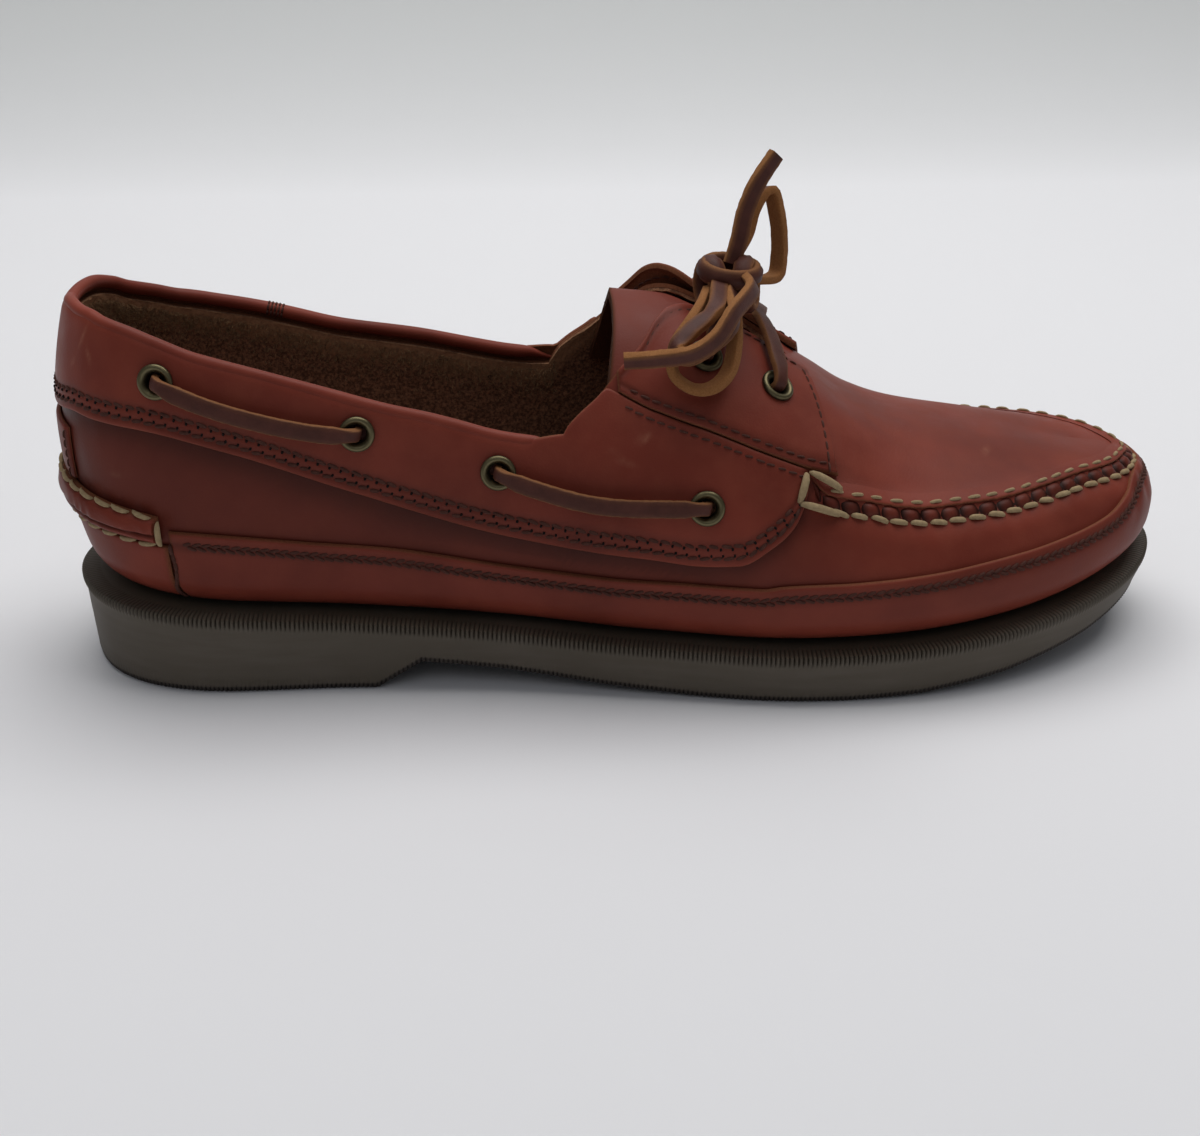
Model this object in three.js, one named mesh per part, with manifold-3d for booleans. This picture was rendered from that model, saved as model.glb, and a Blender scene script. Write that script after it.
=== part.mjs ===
// Right boat shoe: moulded sole with a heel, hollow leather upper, moccasin toe, side laces and bow.
// Millimetres, Z up, toe along +X, the outer side of the foot along -Y, ground at z = 0.
import * as THREE from 'three';
import Module from 'manifold-3d';
import { mergeVertices } from 'three/addons/utils/BufferGeometryUtils.js';

const wasm = await Module();
wasm.setup();

// Driving sizes
const soleLength = 300;
const heelWidth = 75;
const waistWidth = 77;
const ballWidth = 105;
const backHeight = 100.5;
const instepHeight = 100.5;
const toeHeight = 53;
const heelSeat = 22.3;
const forefootSeat = 15;
const wall = 2;
const overlay = 1.4;
const gap = 0.3;
const lasting = 7;
const rollRadius = 2.2;
const seamRadius = 1.5;
const eyeletFlange = 4.6;
const eyeletBarrel = 2.9;
const eyeletBore = 2.35;
const laceWidth = 3.4;
const laceThick = 1.8;
const cordRadius = 1.6;
const ribPitch = 8.8;
const boreRadius = 3.4;
const roundSides = 8;
const cordSides = 6;

const halfHeel = heelWidth / 2;
const halfWaist = waistWidth / 2;
const halfBall = ballWidth / 2;
const buildUp = overlay + gap;

// Turns rows of plain values into records with named columns
const table = (names, rows) => rows.map(
  (row) => Object.fromEntries(names.map((name, index) => [name, row[index]])),
);

// Stations round the foot from the heel back along the outer side, the toe and back along the inner side.
// along and across place the sole rim, bulge and bulgeHeight swell the wall, the powers round wall and
// crown, inset draws the foot of the wall in from the rim, spine is where the ribs of the last meet.
const stations = table(
  ['along', 'across', 'bulge', 'bulgeHeight', 'wallPower', 'crownPower', 'inset', 'spine'],
  [
    [0, 0, 7.5, 0.428, 2.0, 1.55, 5.5, 0.1],
    [0.03, -0.653 * halfHeel, 6.5, 0.408, 2.0, 1.6, 5.5, 0.11],
    [0.11, -halfHeel, 3.5, 0.358, 2.1, 1.8, 5.0, 0.153],
    [0.25, -1.027 * halfHeel, 2.5, 0.259, 2.1, 1.8, 4.5, 0.267],
    [0.383, -1.065 * halfWaist, 3.0, 0.219, 2.1, 1.85, 4.5, 0.387],
    [0.517, -0.914 * halfBall, 3.0, 0.199, 2.0, 1.95, 4.5, 0.51],
    [0.65, -1.029 * halfBall, 3.0, 0.169, 2.0, 1.72, 4.5, 0.63],
    [0.783, -0.971 * halfBall, 3.0, 0.149, 2.1, 1.65, 4.5, 0.747],
    [0.893, -0.724 * halfBall, 3.0, 0.139, 2.2, 1.7, 4.0, 0.833],
    [0.97, -0.343 * halfBall, 3.0, 0.139, 2.3, 1.85, 3.5, 0.89],
    [1.0, 0.114 * halfBall, 3.0, 0.139, 2.3, 1.85, 3.5, 0.91],
    [0.973, 0.552 * halfBall, 3.0, 0.139, 2.3, 1.85, 3.5, 0.89],
    [0.893, 0.819 * halfBall, 3.0, 0.139, 2.2, 1.7, 4.0, 0.833],
    [0.783, 0.952 * halfBall, 3.0, 0.149, 2.1, 1.65, 4.5, 0.747],
    [0.657, 0.971 * halfBall, 3.0, 0.169, 2.0, 1.72, 4.5, 0.63],
    [0.52, 0.819 * halfBall, 3.0, 0.199, 2.0, 1.95, 4.5, 0.51],
    [0.383, 0.935 * halfWaist, 3.0, 0.219, 2.1, 1.85, 4.5, 0.387],
    [0.25, 0.973 * halfHeel, 2.5, 0.259, 2.1, 1.8, 4.5, 0.267],
    [0.11, halfHeel, 3.5, 0.358, 2.1, 1.8, 5.0, 0.153],
    [0.03, 0.653 * halfHeel, 6.5, 0.408, 2.0, 1.6, 5.5, 0.11],
  ],
);
const turn = stations.length;
const half = turn / 2;

// Ridge of the last from heel to toe: place along, side shift and height
const ridge = table(['at', 'across', 'height'], [
  [0.1, 0, 1.353 * instepHeight],
  [0.2, 0, 1.373 * instepHeight],
  [0.317, 0, 1.284 * instepHeight],
  [0.407, 0, 1.134 * instepHeight],
  [0.47, 0, 1.03 * instepHeight],
  [0.533, 0.5, instepHeight],
  [0.567, 0.8, 0.955 * instepHeight],
  [0.6, 1, 0.9 * instepHeight],
  [0.633, 1.2, 0.831 * instepHeight],
  [0.667, 1.5, 0.761 * instepHeight],
  [0.7, 2, 1.311 * toeHeight],
  [0.74, 2.5, 1.217 * toeHeight],
  [0.8, 3.5, 1.142 * toeHeight],
  [0.85, 4.2, 1.085 * toeHeight],
  [0.91, 5, toeHeight],
]);

// Top of the sole under the upper
const seat = table(['at', 'height'], [
  [0, 1.12 * heelSeat],
  [0.067, 1.076 * heelSeat],
  [0.167, heelSeat],
  [0.283, 0.906 * heelSeat],
  [0.4, 0.789 * heelSeat],
  [0.5, 1.04 * forefootSeat],
  [0.617, 0.973 * forefootSeat],
  [0.717, forefootSeat],
  [0.833, 1.133 * forefootSeat],
  [0.933, 1.367 * forefootSeat],
  [1, 1.567 * forefootSeat],
]);

// Underside of the sole: heel block, breast, arch, forefoot and toe spring
const tread = table(['at', 'height'], [
  [0, 0],
  [0.27, 0],
  [0.31, 0.341 * heelSeat],
  [0.383, 0.251 * heelSeat],
  [0.467, 0.108 * heelSeat],
  [0.55, 0.018 * heelSeat],
  [0.6, 0],
  [0.683, 0],
  [0.75, 0.047 * forefootSeat],
  [0.833, 0.227 * forefootSeat],
  [0.917, 0.52 * forefootSeat],
  [1, 0.9 * forefootSeat],
]);

// Girth runs from 0 at the foot of the wall over 1 above its rounded corner and 2 at the widest
// height to 3 on the ridge. Each seam is a row of stations against girths on the two sides.
const collar = table(['at', 'outer', 'inner'], [
  [0, 2.385, 2.385],
  [0.5, 2.4, 2.395],
  [0.9, 2.4, 2.375],
  [1.15, 2.39, 2.35],
  [1.53, 2.37, 2.32],
  [1.8, 2.35, 2.3],
  [2.2, 2.32, 2.29],
  [2.78, 2.3, 2.29],
  [3.4, 2.29, 2.305],
  [3.85, 2.29, 2.315],
  [4.15, 2.3, 2.325],
  [4.4, 2.33, 2.345],
]);
const throat = table(['at', 'girth'], [
  [4.4, 2.345],
  [4.5, 2.4],
  [4.62, 2.46],
  [4.75, 2.54],
  [4.93, 2.64],
  [5.05, 2.74],
  [5.15, 2.8],
  [5.33, 2.85],
  [5.6, 2.865],
  [5.9, 2.87],
  [6.0, 2.9],
  [6.12, 3],
]);
const bandFoot = table(['at', 'girth'], [
  [0, 2.09],
  [0.4, 2.1],
  [0.9, 2.13],
  [1.62, 2.13],
  [2.38, 2.12],
  [3.1, 2.09],
  [3.98, 2.05],
  [4.73, 2.04],
  [5.1, 2.04],
  [5.48, 2.07],
  [5.7, 2.15],
  [5.85, 2.23],
  [5.95, 2.33],
  [5.99, 2.4],
]);
const stayFoot = table(['at', 'girth'], [
  [4.7, 2.49],
  [4.98, 2.44],
  [5.25, 2.42],
  [5.58, 2.42],
  [5.93, 2.43],
  [6.2, 2.45],
]);
const foxingTop = table(['at', 'girth'], [
  [1.9, 1.47],
  [2.75, 1.62],
  [3.35, 1.73],
  [3.98, 1.69],
  [4.6, 1.71],
  [5.23, 1.86],
  [5.75, 2.02],
  [6.28, 2.07],
  [6.73, 2.12],
  [7.28, 2.17],
  [7.85, 2.2],
  [8.47, 2.23],
  [8.88, 2.31],
  [9.22, 2.4],
  [9.5, 2.42],
  [10, 2.38],
]);
const mocLine = table(['at', 'girth'], [
  [5.99, 2.42],
  [6.1, 2.37],
  [6.45, 2.4],
  [6.75, 2.42],
  [7.08, 2.45],
  [7.43, 2.47],
  [7.98, 2.52],
  [8.58, 2.56],
  [9.43, 2.56],
  [10, 2.5],
]);
const eyelets = table(['name', 'at', 'girth', 'innerGirth'], [
  ['rear', 1.88, 2.25, 2.215],
  ['waist_rear', 3.1, 2.22, 2.225],
  ['waist_front', 3.98, 2.2, 2.22],
  ['front', 5.28, 2.21, 2.21],
  ['instep', 5.35, 2.64, 2.64],
  ['throat', 5.85, 2.66, 2.66],
]);

// Smooth closed curve through one column of the stations
function roundStations(column, u) {
  const base = ((Math.floor(u) % turn) + turn) % turn;
  const t = u - Math.floor(u);
  const p = [-1, 0, 1, 2].map((step) => stations[(base + step + turn) % turn][column]);
  const linear = (p[2] - p[0]) * t;
  const square = (2 * p[0] - 5 * p[1] + 4 * p[2] - p[3]) * t * t;
  const cube = (3 * p[1] - p[0] - 3 * p[2] + p[3]) * t * t * t;
  return 0.5 * (2 * p[1] + linear + square + cube);
}

// Curve through table rows that never overshoots them
function along(rows, key, column, at) {
  const last = rows.length - 1;
  const x = THREE.MathUtils.clamp(at, rows[0][key], rows[last][key]);
  let i = 0;
  while (i < last - 1 && x > rows[i + 1][key]) i += 1;
  const step = (k) => rows[k + 1][key] - rows[k][key];
  const rise = (k) => (rows[k + 1][column] - rows[k][column]) / step(k);
  const slope = (k) => {
    if (k === 0) return rise(0);
    if (k === last) return rise(last - 1);
    const before = rise(k - 1);
    const after = rise(k);
    return before * after <= 0 ? 0 : (2 * before * after) / (before + after);
  };
  const h = step(i);
  const t = (x - rows[i][key]) / h;
  const a = rows[i][column] * (1 + 2 * t) * (1 - t) ** 2 + slope(i) * h * t * (1 - t) ** 2;
  const b = rows[i + 1][column] * t * t * (3 - 2 * t) + slope(i + 1) * h * t * t * (t - 1);
  return a + b;
}

const seatHeight = (x) => along(seat, 'at', 'height', x / soleLength);
const treadHeight = (x) => {
  const share = THREE.MathUtils.clamp(x / soleLength, 0, 1);
  const k = Math.max(1, tread.findIndex((row) => row.at >= share));
  const t = (share - tread[k - 1].at) / (tread[k].at - tread[k - 1].at);
  return THREE.MathUtils.lerp(tread[k - 1].height, tread[k].height, t);
};
const stationOf = (u) => {
  const round = ((u % turn) + turn) % turn;
  return Math.min(round, turn - round);
};
const onInnerSide = (u) => ((u % turn) + turn) % turn > half;

// Sole rim at a station, drawn in by an inset
function rimPoint(u, inset) {
  const place = (v) => [soleLength * roundStations('along', v), roundStations('across', v)];
  const [x, y] = place(u);
  const [ax, ay] = place(u - 0.01);
  const [bx, by] = place(u + 0.01);
  const length = Math.hypot(bx - ax, by - ay);
  return [x - (inset * (by - ay)) / length, y + (inset * (bx - ax)) / length];
}

// One rib of the last: its foot, its spine end and the way between them
function lastRib(u) {
  const column = (name) => roundStations(name, u);
  const foot = rimPoint(u, column('inset'));
  const share = THREE.MathUtils.clamp(column('spine'), ridge[0].at, ridge[ridge.length - 1].at);
  const spine = [soleLength * share, along(ridge, 'at', 'across', share)];
  const reach = Math.hypot(foot[0] - spine[0], foot[1] - spine[1]);
  return {
    spine,
    reach,
    way: [(foot[0] - spine[0]) / reach, (foot[1] - spine[1]) / reach],
    base: seatHeight(foot[0]) + gap,
    top: along(ridge, 'at', 'height', share),
    bulge: column('bulge'),
    swell: column('bulgeHeight') * backHeight,
    wallPower: column('wallPower'),
    crownPower: column('crownPower'),
  };
}

const cornerReach = 9;
const cornerHeight = 10;

// Point of the last's outside at a station and girth
function lastPoint(u, girth) {
  const rib = lastRib(u);
  let reach = rib.reach;
  let z = rib.base;
  if (girth <= 2) {
    const turned = THREE.MathUtils.clamp(girth, 0, 1) * (Math.PI / 2);
    const straight = THREE.MathUtils.clamp(girth - 1, 0, 1);
    const rise = cornerHeight * (1 - Math.cos(turned)) + (rib.swell - cornerHeight) * straight;
    reach += rib.bulge * (1 - (1 - rise / rib.swell) ** 2) - cornerReach * (1 - Math.sin(turned));
    reach -= Math.max(0, -girth) * lasting;
    z += rise;
  } else {
    const turned = Math.min(girth - 2, 1) * (Math.PI / 2);
    const shoulder = rib.base + rib.swell;
    reach = (reach + rib.bulge) * Math.max(Math.cos(turned), 0) ** (2 / rib.wallPower);
    z = shoulder + (rib.top - shoulder) * Math.sin(turned) ** (2 / rib.crownPower);
  }
  return new THREE.Vector3(rib.spine[0] + rib.way[0] * reach, rib.spine[1] + rib.way[1] * reach, z);
}

// Outward direction of the last at a station and girth
function lastNormal(u, girth) {
  if (girth <= 0) return new THREE.Vector3(0, 0, -1);
  if (girth > 2.995) {
    const share = lastRib(u).spine[0] / soleLength;
    const height = (s) => along(ridge, 'at', 'height', s);
    const slope = (height(share + 0.004) - height(share - 0.004)) / (0.008 * soleLength);
    return new THREE.Vector3(-slope, 0, 1).normalize();
  }
  const e = 0.01;
  const round = lastPoint(u + e, girth).sub(lastPoint(u - e, girth));
  const up = lastPoint(u, Math.min(girth + e, 3)).sub(lastPoint(u, Math.max(girth - e, 0)));
  return round.cross(up).normalize();
}

// The last moved out or in by a distance
const lastAt = (u, girth, out) => lastPoint(u, girth).addScaledVector(lastNormal(u, girth), out);

// The upper lies one overlay below the last's outside, and meets it again at the sole
const upperFace = (girth) => -buildUp * THREE.MathUtils.smoothstep(girth, 0.1, 0.55);

// Girth a distance short of another one
const girthShort = (u, girth, distance) => {
  const slice = lastPoint(u, girth).distanceTo(lastPoint(u, girth - 0.02));
  return girth - (0.02 * distance) / slice;
};
const collarGirth = (u) => along(collar, 'at', onInnerSide(u) ? 'inner' : 'outer', stationOf(u));
const upperTop = (u) => {
  const at = stationOf(u);
  if (at <= 4.4) return girthShort(u, collarGirth(u), 2 * rollRadius + 1.8 * gap);
  const blend = THREE.MathUtils.smoothstep(at, 4.4, 4.5);
  const edge = girthShort(u, collarGirth(u), 2 * rollRadius + 1.8 * gap);
  return THREE.MathUtils.lerp(edge, along(throat, 'at', 'girth', at), blend);
};

const evenly = (from, to, count) => Array.from(
  { length: count + 1 },
  (unused, index) => from + ((to - from) * index) / count,
);

// Turns every face outwards
function facingOut(geometry) {
  const position = geometry.getAttribute('position');
  const index = geometry.getIndex();
  const corner = (k) => new THREE.Vector3().fromBufferAttribute(position, index.getX(k));
  let volume = 0;
  for (let k = 0; k < index.count; k += 3) {
    volume += corner(k).dot(corner(k + 1).cross(corner(k + 2)));
  }
  if (volume < 0) {
    for (let k = 0; k < index.count; k += 3) {
      const swap = index.getX(k);
      index.setX(k, index.getX(k + 1));
      index.setX(k + 1, swap);
    }
  }
  geometry.computeVertexNormals();
  return geometry;
}

// Geometry from points and faces, with equal points joined
function weld(points, faces) {
  const geometry = new THREE.BufferGeometry();
  const flat = points.flatMap((p) => [p.x, p.y, p.z]);
  geometry.setAttribute('position', new THREE.Float32BufferAttribute(flat, 3));
  geometry.setIndex(faces);
  const joined = mergeVertices(geometry, 0.002);
  const index = joined.getIndex().array;
  const kept = [];
  for (let k = 0; k < index.length; k += 3) {
    const [a, b, c] = [index[k], index[k + 1], index[k + 2]];
    if (a !== b && b !== c && c !== a) kept.push(a, b, c);
  }
  joined.setIndex(kept);
  return facingOut(joined);
}

// Solid between two grids of columns; open says where the top edge needs a rim
function solidBetween(outer, inner, { loop = false, open = () => true } = {}) {
  const columns = outer.length;
  const rows = outer[0].length;
  const points = [...outer.flat(), ...inner.flat()];
  const out = (i, j) => (i % columns) * rows + j;
  const into = (i, j) => columns * rows + out(i, j);
  const faces = [];
  const quad = (a, b, c, d) => faces.push(a, b, c, a, c, d);
  const last = loop ? columns : columns - 1;
  for (let i = 0; i < last; i += 1) {
    for (let j = 0; j < rows - 1; j += 1) {
      quad(out(i, j), out(i + 1, j), out(i + 1, j + 1), out(i, j + 1));
      quad(into(i, j), into(i, j + 1), into(i + 1, j + 1), into(i + 1, j));
    }
    quad(out(i, 0), into(i, 0), into(i + 1, 0), out(i + 1, 0));
    if (open(i, (i + 1) % columns)) {
      const top = rows - 1;
      quad(out(i, top), out(i + 1, top), into(i + 1, top), into(i, top));
    }
  }
  if (!loop) {
    for (let j = 0; j < rows - 1; j += 1) {
      const end = columns - 1;
      quad(out(0, j), out(0, j + 1), into(0, j + 1), into(0, j));
      quad(out(end, j), into(end, j), into(end, j + 1), out(end, j + 1));
    }
  }
  return weld(points, faces);
}

// Solid closed above and below by ladders between the two sides of its rings
function ladderSolid(rings) {
  const count = rings[0].length;
  const points = rings.flat();
  const faces = [];
  const at = (r, i) => r * count + (i % count);
  for (let r = 0; r < rings.length - 1; r += 1) {
    for (let i = 0; i < count; i += 1) {
      faces.push(at(r, i), at(r + 1, i), at(r + 1, i + 1), at(r, i), at(r + 1, i + 1), at(r, i + 1));
    }
  }
  const bottom = rings.length - 1;
  for (let i = 0; i < count / 2; i += 1) {
    const far = count - i;
    faces.push(at(0, i), at(0, i + 1), at(0, far - 1), at(0, i), at(0, far - 1), at(0, far));
    faces.push(at(bottom, i), at(bottom, far), at(bottom, far - 1));
    faces.push(at(bottom, i), at(bottom, far - 1), at(bottom, i + 1));
  }
  return weld(points, faces);
}

// Leather piece lying on the upper between two girths along a run of stations, its rows shared
// out between the wall below the widest height and the crown above it
function overlayPiece(run, low, high, [wallRows, crownRows], out = 0, into = -overlay) {
  const rows = (u) => {
    const [from, to] = [low(u), high(u)];
    if (from >= 2 || to <= 2) return evenly(from, to, wallRows + crownRows);
    return [...evenly(from, 2, wallRows), ...evenly(2, to, crownRows).slice(1)];
  };
  const face = (offset) => run.map((u) => rows(u).map((girth) => lastAt(u, girth, offset)));
  return solidBetween(face(out), face(into));
}

// Round cord along points
function cordSolid(points, radius, steps) {
  const path = new THREE.CatmullRomCurve3(points, false, 'centripetal');
  const shape = new THREE.Shape();
  evenly(0, cordSides, cordSides).slice(0, cordSides).forEach((side) => {
    const angle = (side * 2 * Math.PI) / cordSides;
    const corner = [radius * Math.cos(angle), radius * Math.sin(angle)];
    if (side === 0) shape.moveTo(...corner);
    else shape.lineTo(...corner);
  });
  shape.closePath();
  return new THREE.ExtrudeGeometry(shape, { steps, extrudePath: path, bevelEnabled: false });
}

// Flat lace through points, its broad side square to the given directions
function laceSolid(stops, width = laceWidth, thick = laceThick) {
  const face = (side) => stops.map(({ point, up }, index) => {
    const next = stops[Math.min(index + 1, stops.length - 1)].point;
    const before = stops[Math.max(index - 1, 0)].point;
    const run = next.clone().sub(before).normalize();
    const across = run.clone().cross(up).normalize();
    const broad = across.clone().cross(run).normalize();
    return [-0.5, 0.5].map((share) => point.clone()
      .addScaledVector(across, share * width)
      .addScaledVector(broad, side * thick * 0.5));
  });
  return solidBetween(face(1), face(-1));
}

// Boolean cut of several tools out of a solid
function cutFrom(geometry, tools) {
  const solid = (source) => {
    const plain = source.clone();
    plain.deleteAttribute('normal');
    plain.deleteAttribute('uv');
    const joined = mergeVertices(plain, 0.001);
    const vertProperties = new Float32Array(joined.getAttribute('position').array);
    const triVerts = new Uint32Array(joined.getIndex().array);
    return new wasm.Manifold(new wasm.Mesh({ numProp: 3, vertProperties, triVerts }));
  };
  const cut = tools.reduce((rest, tool) => rest.subtract(solid(tool)), solid(geometry));
  const mesh = cut.getMesh();
  const result = new THREE.BufferGeometry();
  result.setAttribute('position', new THREE.BufferAttribute(mesh.vertProperties, 3));
  result.setIndex(new THREE.BufferAttribute(mesh.triVerts, 1));
  result.computeVertexNormals();
  return result;
}

const finishes = {
  leather: { color: 0x6e3326, roughness: 0.5, metalness: 0 },
  leatherDark: { color: 0x5c2a20, roughness: 0.55, metalness: 0 },
  lining: { color: 0x3a2419, roughness: 0.95, metalness: 0 },
  rubber: { color: 0x5a4d42, roughness: 0.8, metalness: 0 },
  rawhide: { color: 0x74493a, roughness: 0.75, metalness: 0 },
  thread: { color: 0xa8927a, roughness: 0.8, metalness: 0 },
  brass: { color: 0x77705a, roughness: 0.45, metalness: 0.9 },
};
const group = new THREE.Group();
function add(name, geometry, finish) {
  const mesh = new THREE.Mesh(geometry, new THREE.MeshStandardMaterial(finishes[finish]));
  mesh.name = name;
  group.add(mesh);
  return mesh;
}

// Sole in one moulding: ribbed rim, tapered wall, heel block with its breast, arch and toe spring
const rimLength = 2 * (soleLength + 0.35 * ballWidth);
const soleColumns = 4 * Math.round(rimLength / ribPitch / 2);
const soleTurns = evenly(0, turn, soleColumns).slice(0, soleColumns);
const soleRing = (inset, height, rib) => soleTurns.map((u, index) => {
  const [x, y] = rimPoint(u, inset + (index % 2 ? rib : -rib));
  return new THREE.Vector3(x, y, height(rimPoint(u, 0)[0]));
});
const soleSolid = ladderSolid([
  soleRing(2.6, (x) => seatHeight(x), 0),
  soleRing(0.6, (x) => seatHeight(x) - 0.6, 0.4),
  soleRing(0.4, (x) => seatHeight(x) - 4.6, 0.4),
  soleRing(1.2, (x) => seatHeight(x) - 5.4, 0),
  soleRing(2.6, (x) => treadHeight(x) + 1.2, 0),
  soleRing(4.2, (x) => treadHeight(x), 0),
]);
add('outsole', soleSolid, 'rubber');

// Hollow upper, closed over the vamp and open at collar, throat and underneath
const outerStations = [
  ...evenly(0, 1.75, 6), ...evenly(2.15, 4.1, 5), 4.4, 4.5, 4.62, 4.75, 4.93, 5.05, 5.15, 5.33, 5.55, 5.75,
  5.9, 6.0, 6.12,
  ...evenly(6.45, 7.35, 2), ...evenly(7.75, 10, 8),
];
const upperTurns = [...outerStations, ...outerStations.slice(1, -1).reverse().map((u) => turn - u)];
const runBetween = (from, to) => {
  const behind = upperTurns.filter((u) => u > half).map((u) => u - turn);
  const inside = [...behind, ...upperTurns].filter((u) => u > from + 0.03 && u < to - 0.03);
  return [from, ...inside, to];
};
const upperColumn = (u, depth) => {
  const top = upperTop(u);
  const low = [-1, 0, 0.4, 1, 1.5];
  const high = evenly(2, top, 6);
  return [...low, ...high].map((girth) => lastAt(u, girth, upperFace(girth) - depth));
};
const closedAt = (index) => upperTop(upperTurns[index]) > 2.9999;
const upperShell = solidBetween(
  upperTurns.map((u) => upperColumn(u, 0)),
  upperTurns.map((u) => upperColumn(u, wall)),
  { loop: true, open: (a, b) => !(closedAt(a) && closedAt(b)) },
);

// Eyelet seats on both sides, each with its centre and outward direction
const seats = eyelets.flatMap(({ name, at, girth, innerGirth }) => [
  { name: `${name}_outer`, u: at, girth },
  { name: `${name}_inner`, u: turn - at, girth: innerGirth },
]).map((place) => ({
  ...place,
  centre: lastPoint(place.u, place.girth),
  out: lastNormal(place.u, place.girth),
}));
const standing = (place) => new THREE.Quaternion()
  .setFromUnitVectors(new THREE.Vector3(0, 1, 0), place.out);
const boreLength = 8 * wall;
const boreTool = (place) => new THREE.CylinderGeometry(boreRadius, boreRadius, boreLength, roundSides)
  .applyQuaternion(standing(place))
  .translate(place.centre.x, place.centre.y, place.centre.z);
const bores = seats.map(boreTool);
add('upper', cutFrom(upperShell, bores), 'leather');

// Insole filling the space inside the lasting margin
const insoleTurns = evenly(0, turn, 48).slice(0, 48);
const insideOffset = (girth) => upperFace(girth) - wall - 1.8 * gap;
const insoleRing = (girth, lift) => insoleTurns.map((u) => {
  const point = lastAt(u, girth, insideOffset(Math.max(girth, 0)));
  point.z += lift;
  return point;
});
const stepDown = -wall - gap;
add('insole', ladderSolid([
  insoleRing(0.5, 0),
  insoleRing(0, 0),
  insoleRing(-1.06, 0),
  insoleRing(-1.06, stepDown),
]), 'lining');

// Tongue under the throat, running forward beneath the vamp
const tongueRun = [4.62, 4.75, 4.93, 5.05, 5.15, 5.33, 5.6, 5.9, 6.12, 6.3, 6.62];
const [tongueBack, tongueFront] = [tongueRun[0], tongueRun[tongueRun.length - 1]];
const tongueRound = 0.19;
const tongueOut = -buildUp - wall - 3.3 * gap;
const tongueFace = (offset) => tongueRun.map((place) => evenly(-1, 1, 16).map((share) => {
  const forward = (tongueFront - place) / (tongueFront - tongueBack);
  const at = place + tongueRound * (1 - share * share) * forward ** 3;
  const low = 2.36 + 0.08 * (place - tongueBack);
  const girth = 3 - (3 - low) * Math.abs(share);
  return lastAt(share < 0 ? at : turn - at, girth, offset);
}));
add('tongue', solidBetween(tongueFace(tongueOut), tongueFace(tongueOut - wall)), 'leatherDark');

// Quarter band with the side eyelets, round the heel from instep to instep
const bandRun = runBetween(-5.99, 5.99);
const stayLine = (u) => along(stayFoot, 'at', 'girth', stationOf(u));
const bandTop = (u) => {
  const top = upperTop(u);
  if (stationOf(u) < 4.55) return top;
  return Math.min(top - 0.004, girthShort(u, stayLine(u), gap + 0.1));
};
const bandLow = (u) => along(bandFoot, 'at', 'girth', stationOf(u));
add('quarter_band', cutFrom(overlayPiece(bandRun, bandLow, bandTop, [0, 5]), bores), 'leather');

// Eyestays, one on each side of the throat
const stayRun = runBetween(4.75, 6.2);
const stayTop = (u) => Math.min(along(throat, 'at', 'girth', Math.min(stationOf(u), 5.9)), 2.87);
const stayOuter = overlayPiece(stayRun, stayLine, stayTop, [0, 5], 0.4);
const stayInner = overlayPiece(stayRun.map((at) => turn - at), stayLine, stayTop, [0, 5], 0.4);
add('eyestay_outer', cutFrom(stayOuter, bores), 'leather');
add('eyestay_inner', cutFrom(stayInner, bores), 'leather');

// Foxing along the foot of the vamp, round the toe
const foxingRun = runBetween(1.92, turn - 1.92);
const foxingHigh = (u) => along(foxingTop, 'at', 'girth', stationOf(u));
add('foxing', overlayPiece(foxingRun, () => 0.6, foxingHigh, [3, 2]), 'leather');

// Heel cup, the stitched ridge above it and the back stay
add('heel_cup', overlayPiece(runBetween(-1.86, 1.86), () => 0.6, () => 1.3, [2, 0]), 'leather');
add('heel_ridge', overlayPiece(runBetween(-1.8, 1.8), () => 1.34, () => 1.6, [2, 0], 2), 'leather');
add('heel_stay', overlayPiece(runBetween(-0.66, 0.66), () => 1.64, () => 2.05, [2, 1], 0.3), 'leather');

// Moccasin seam standing proud round the vamp
const mocRun = [...evenly(6.03, half, 20), ...evenly(half, turn - 6.03, 20).slice(1)];
const mocPoints = mocRun.map((u) => {
  const girth = along(mocLine, 'at', 'girth', stationOf(u));
  return lastAt(u, girth, upperFace(girth) + gap + seamRadius);
});
add('moc_seam', cordSolid(mocPoints, seamRadius, 44), 'leather');

// Rolled collar over the upper's edge
const rollRun = evenly(-4.36, 4.36, 34);
const rollPoints = rollRun.map((u) => {
  const girth = girthShort(u, collarGirth(u), rollRadius);
  return lastAt(u, girth, -(wall + buildUp) / 2);
});
add('collar_roll', cordSolid(rollPoints, rollRadius, 48), 'leatherDark');

// Eyelets: flange outside, barrel through band and wall
const barrelEnd = -buildUp - wall - 0.5;
const eyeletProfile = [
  [eyeletBore, barrelEnd],
  [eyeletBarrel, barrelEnd],
  [eyeletBarrel, 0.75],
  [eyeletFlange, 0.75],
  [eyeletFlange - 0.7, 1.6],
  [eyeletBore, 1.2],
  [eyeletBore, barrelEnd],
].map(([x, y]) => new THREE.Vector2(x, y));
seats.forEach((place) => {
  const ring = new THREE.LatheGeometry(eyeletProfile, roundSides)
    .applyQuaternion(standing(place))
    .translate(place.centre.x, place.centre.y, place.centre.z);
  add(`eyelet_${place.name}`, ring, 'brass');
});

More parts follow.
